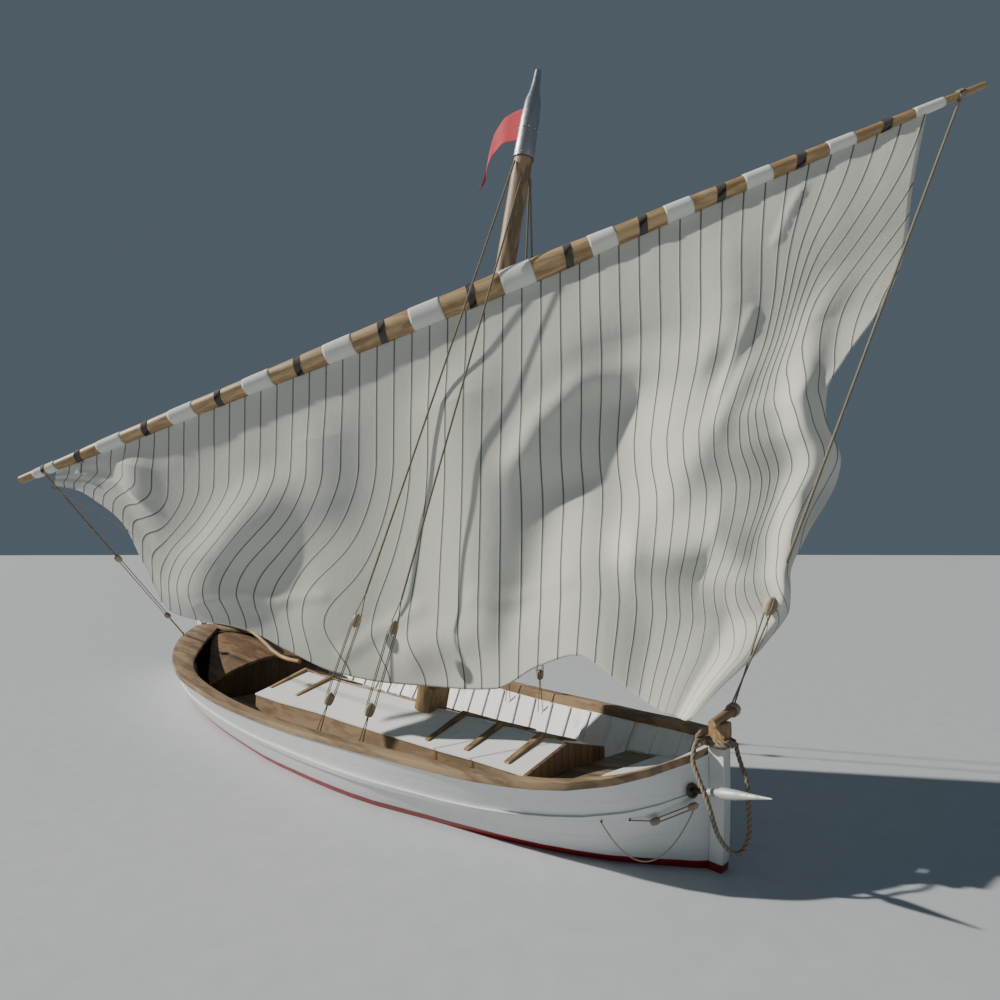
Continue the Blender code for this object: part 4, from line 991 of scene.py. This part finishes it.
def tackle(name, ropes, blocks, axis, low, high, setup):
    # the low end stays with the boat and the high end turns with the yard
    for piece in rigging(name, ropes, blocks, axis, setup):
        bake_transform(piece, "boat", "yard", start=tuple(low), end=tuple(high))


def makeTackles(setup):
    thick, thin = setup["rope"], setup["fall"]
    top, foot = np.array(sternLine)
    axis, side, _ = squareTo(foot - top, blockShape["facing"])
    first, second = (top + (foot - top) * share for share in sternBlocks)
    ropes = [straightRope(top, first, thick), straightRope(second, foot, thick)]
    ropes += twoRopes(first, second, side * -setup["spread"], thin)
    tackle("stern_tackle", ropes, (first, second), axis, foot, top, setup)
    # the vang's rope bends from the yard's end down to its block
    top, bend, foot = np.array(vangLine)
    axis, side, _ = squareTo(foot - bend, blockShape["facing"])
    side = side * setup["spread"]
    block = bend + (foot - bend) * vangBlock
    apart = np.array((0, 0.022, 0))
    ropes = [straightRope(block + side, foot + apart, thin), straightRope(block - side, foot - apart, thin)]
    tackle("vang", ropes, (block,), axis, foot, top, setup)
    corners = (top, top + (bend - top) * 0.5, bend - (bend - top) * 0.04, bend + (block - bend) * 0.4, block)
    rope = surface("vang_rope", [ropeSheet(smoothPath(corners, 0.008), thick, 8)], "ropeGrey")
    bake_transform(rope, "boat", "yard", start=tuple(foot), end=tuple(top))
    # turns round both ends of the yard, and the rope from one of them along it
    half = setup["turnHalf"]
    turns = [sleeve(share - half, share + half, setup["turnDepth"], 3) for share in setup["turnShares"]]
    turns.append(straightRope(*bridleLine, setup["bridle"]))
    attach(surface("yard_tackle_turns", turns, "ropeGrey"), "yard")
    # eye on a shank where the stern tackle ends
    foot = np.array(sternLine[1])
    shank = straightPath(*(foot - (0, 0, down) for down in setup["shank"]), 0.007)
    eye = [loopSheet(foot, (0.2, 1, 0), setup["eyeRadius"], setup["eyeThick"]),
           sweepSheet(shank, setup["shankRadius"], 10, (1, 0, 0))]
    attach(surface("stern_eye", eye, "ironMetal"), "boat")


makeTackles(tackleSetup)
print("tackles")


# ropes at the bow

bowSetup = {"rope": 0.028, "turnHeights": (0.7225, 0.75), "turnHalf": (0.066, 0.065),
            "turnCentre": (4.5025, 0), "knot": (4.426, -0.094, 0.764), "knotSize": 0.0135,
            "knotDepth": 0.009, "knotRope": 0.4}
# over the rail, down before the stem and up again on its fore side
bightPoints = (
    (4.441, -0.072, 0.752), (4.436, -0.125, 0.758), (4.438, -0.18, 0.748), (4.447, -0.222, 0.716),
    (4.454, -0.246, 0.668), (4.479, -0.26, 0.62), (4.514, -0.268, 0.554), (4.54, -0.266, 0.49),
    (4.556, -0.252, 0.42), (4.564, -0.232, 0.35), (4.574, -0.204, 0.282), (4.592, -0.17, 0.225),
    (4.612, -0.13, 0.185), (4.632, -0.09, 0.172), (4.65, -0.052, 0.192), (4.66, -0.02, 0.244),
    (4.658, 0.004, 0.32), (4.65, 0.022, 0.4), (4.645, 0.034, 0.47), (4.629, 0.045, 0.546),
    (4.598, 0.054, 0.618), (4.576, 0.06, 0.68), (4.569, 0.058, 0.73))
logTurns = {"start": (4.5, 0.158, 0.8845), "end": (4.5, 0.208, 0.8905), "radius": 0.036, "rope": 0.011,
            "turns": 5}
waleTackle = {"aft": (4.185, -0.495, 0.335), "blocks": ((4.285, -0.385, 0.328), (4.428, -0.212, 0.402)),
              "rope": 0.007, "spread": 0.012, "blockSize": (0.062, 0.042, 0.034), "staple": 0.004,
              "stapleReach": (-0.005, 0.05)}
slackRope = {"start": (4.428, -0.212, 0.375), "end": (4.065, -0.602, 0.322), "sag": 0.245, "rope": 0.008}


def makeBow(setup):
    # turns round the stem head: a rectangle with round corners, rising from one turn to the next
    t = np.linspace(0, 2 * math.tau, 161)
    low, high = setup["turnHeights"]
    corner = (np.abs(np.cos(t)) ** 5 + np.abs(np.sin(t)) ** 5) ** -0.2
    (x, y), (halfX, halfY) = setup["turnCentre"], setup["turnHalf"]
    turns = np.stack([x + halfX * corner * np.cos(t), y + halfY * corner * np.sin(t),
                      low + (high - low) * np.clip(t / math.tau - 0.5, 0, 1)], -1)
    # knot: a trefoil, sin t + 2 sin 2t by cos t - 2 cos 2t
    t = fullTurn(121)
    (x, y, z), size = setup["knot"], setup["knotSize"]
    knot = np.stack([x + setup["knotDepth"] * np.sin(3 * t), y + size * (np.sin(t) + 2 * np.sin(2 * t)),
                     z + size * (np.cos(t) - 2 * np.cos(2 * t))], -1)
    lay = setup["rope"] * layShape["turn"]
    pieces = [ropeSheet(turns, setup["rope"], 14),
              sweepSheet(knot, setup["rope"] * setup["knotRope"], 12, (1, 0.1, 0.2), lay, capped=False)]
    turnPiece = surface("stem_head_turns", pieces, "ropeTan")
    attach(turnPiece, "boat")
    path = smoothPath(bightPoints, 0.006)
    bight = surface("bow_rope", [ropeSheet(path, setup["rope"], 14, (0.3, 1, 0.1))], "ropeTan")
    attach(bight, "boat")
    [tuple(point) for point in path[::4]] + [tuple(path[-1])]
    print("bow rope: %.3f m" % pathLength(path))


def makeLogTurns(setup):
    # a helix from start to end: radius x (cos a x one side + sin a x the other)
    start, end = np.array((setup["start"], setup["end"]))
    axis = unit(end - start)
    first = np.array((1, 0, 0))
    second = np.cross(axis, first)
    t = np.linspace(0, 1, 48 * setup["turns"])[:, None]
    a = math.tau * setup["turns"] * t
    path = start + (end - start) * t + setup["radius"] * (np.cos(a) * first + np.sin(a) * second)
    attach(surface("log_turns", [ropeSheet(path, setup["rope"], 10, axis)], "ropePale"), "boat")


def makeWaleTackle(setup, slack):
    aft, first, second = np.array((setup["aft"], *setup["blocks"]))
    axis, _, side = squareTo(second - first, (0, 0, 1))
    side = side * setup["spread"]
    ropes = [straightRope(aft, first, setup["rope"], 0.005)]
    ropes += twoRopes(first, second, -side, setup["rope"], 0.005)
    for piece in rigging("wale_tackle", ropes, (first, second), axis, setup):
        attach(piece, "boat")
    # staples: short rods from the ends of the ropes into the planking
    reach = np.linspace(*setup["stapleReach"], 6)[:, None]
    feet = ((aft, (-0.35, 0.9, 0.1)), (second, (0.15, 1, 0)), (slack["end"], (-0.2, 1, 0.1)))
    staples = [sweepSheet(point + unit(sternInsideShade) * reach, setup["staple"], 10) for point, sternInsideShade in feet]
    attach(surface("wale_staples", staples, "ironMetal"), "boat")
    # slack rope: straight in plan, height less 4 x sag x t x (1 - t)
    t = np.linspace(0, 1, 90)[:, None]
    start, end = np.array((slack["start"], slack["end"]))
    path = start + (end - start) * t - np.array((0, 0, 4 * slack["sag"])) * t * (1 - t)
    rope = surface("slack_rope", [ropeSheet(path, slack["rope"], 8, (0.7, 0.7, 0))], "ropePale")
    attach(rope, "boat")
    [tuple(point) for point in path[::3]] + [tuple(path[-1])]
    print("slack rope: %.3f m" % pathLength(path))


makeBow(bowSetup)
makeLogTurns(logTurns)
makeWaleTackle(waleTackle, slackRope)
print("bow ropes")


# small fittings

# rows of rivets: height above the band, distance from the mast's axis
capSetup = {"base": (2.9005, 0, 5.203), "radius": 0.0865, "band": 0.01,
            "rivetRows": ((0.03, 0.0885), (0.235, 0.0868)), "rivets": 9, "rivetRadius": 0.006,
            "rivetOut": 0.004}
ridgeRadius = 0.006
# along the roof's ridge: x, z
ridgeRows = ((-0.83, 0.4405), (-0.25, 0.43), (0.45, 0.434), (1, 0.448), (1.5, 0.461), (2.4, 0.473),
             (2.8, 0.476), (3.28, 0.476))


def makeCapFittings(setup):
    # a band at the foot of the metal, and rivet heads above it: out x cos t by radius x sin t
    axis, first, second = squareTo(mastAxis, (0, 1, 0))
    base = np.array(setup["base"])
    band = loopSheet(base, axis, setup["radius"], setup["band"])
    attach(surface("cap_band", [band], "ringMetal"), "boat")
    heads = []
    t = np.linspace(0, math.pi / 2, 5)[:, None]
    a = fullTurn(13)[None, :]
    for row, (height, distance) in enumerate(setup["rivetRows"]):
        for k in range(setup["rivets"]):
            bearing = math.tau * (k + row * 0.5) / setup["rivets"]
            out = np.cos(bearing) * first + np.sin(bearing) * second
            middle = base + axis * height + out * distance
            points = (middle + by(out, setup["rivetOut"] * np.cos(t) - 0.001)
                      + by(axis, setup["rivetRadius"] * np.sin(t) * np.sin(a))
                      + by(np.cross(axis, out), setup["rivetRadius"] * np.sin(t) * np.cos(a)))
            heads.append((points[::-1, ::-1], pair(a, t)[::-1, ::-1]))
    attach(surface("cap_rivets", heads, "spikeMetal"), "boat")


def makeRidge():
    # thin bead along the roof's ridge
    x, z = np.array(ridgeRows).T
    at = np.linspace(x[0], x[-1], 160)
    path = np.stack([at, 0 * at, softCurve(at, x, z)], -1)
    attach(surface("ridge_bead", [sweepSheet(path, ridgeRadius, 10)], "battenWood"), "boat")


makeCapFittings(capSetup)
makeRidge()
print("fittings")
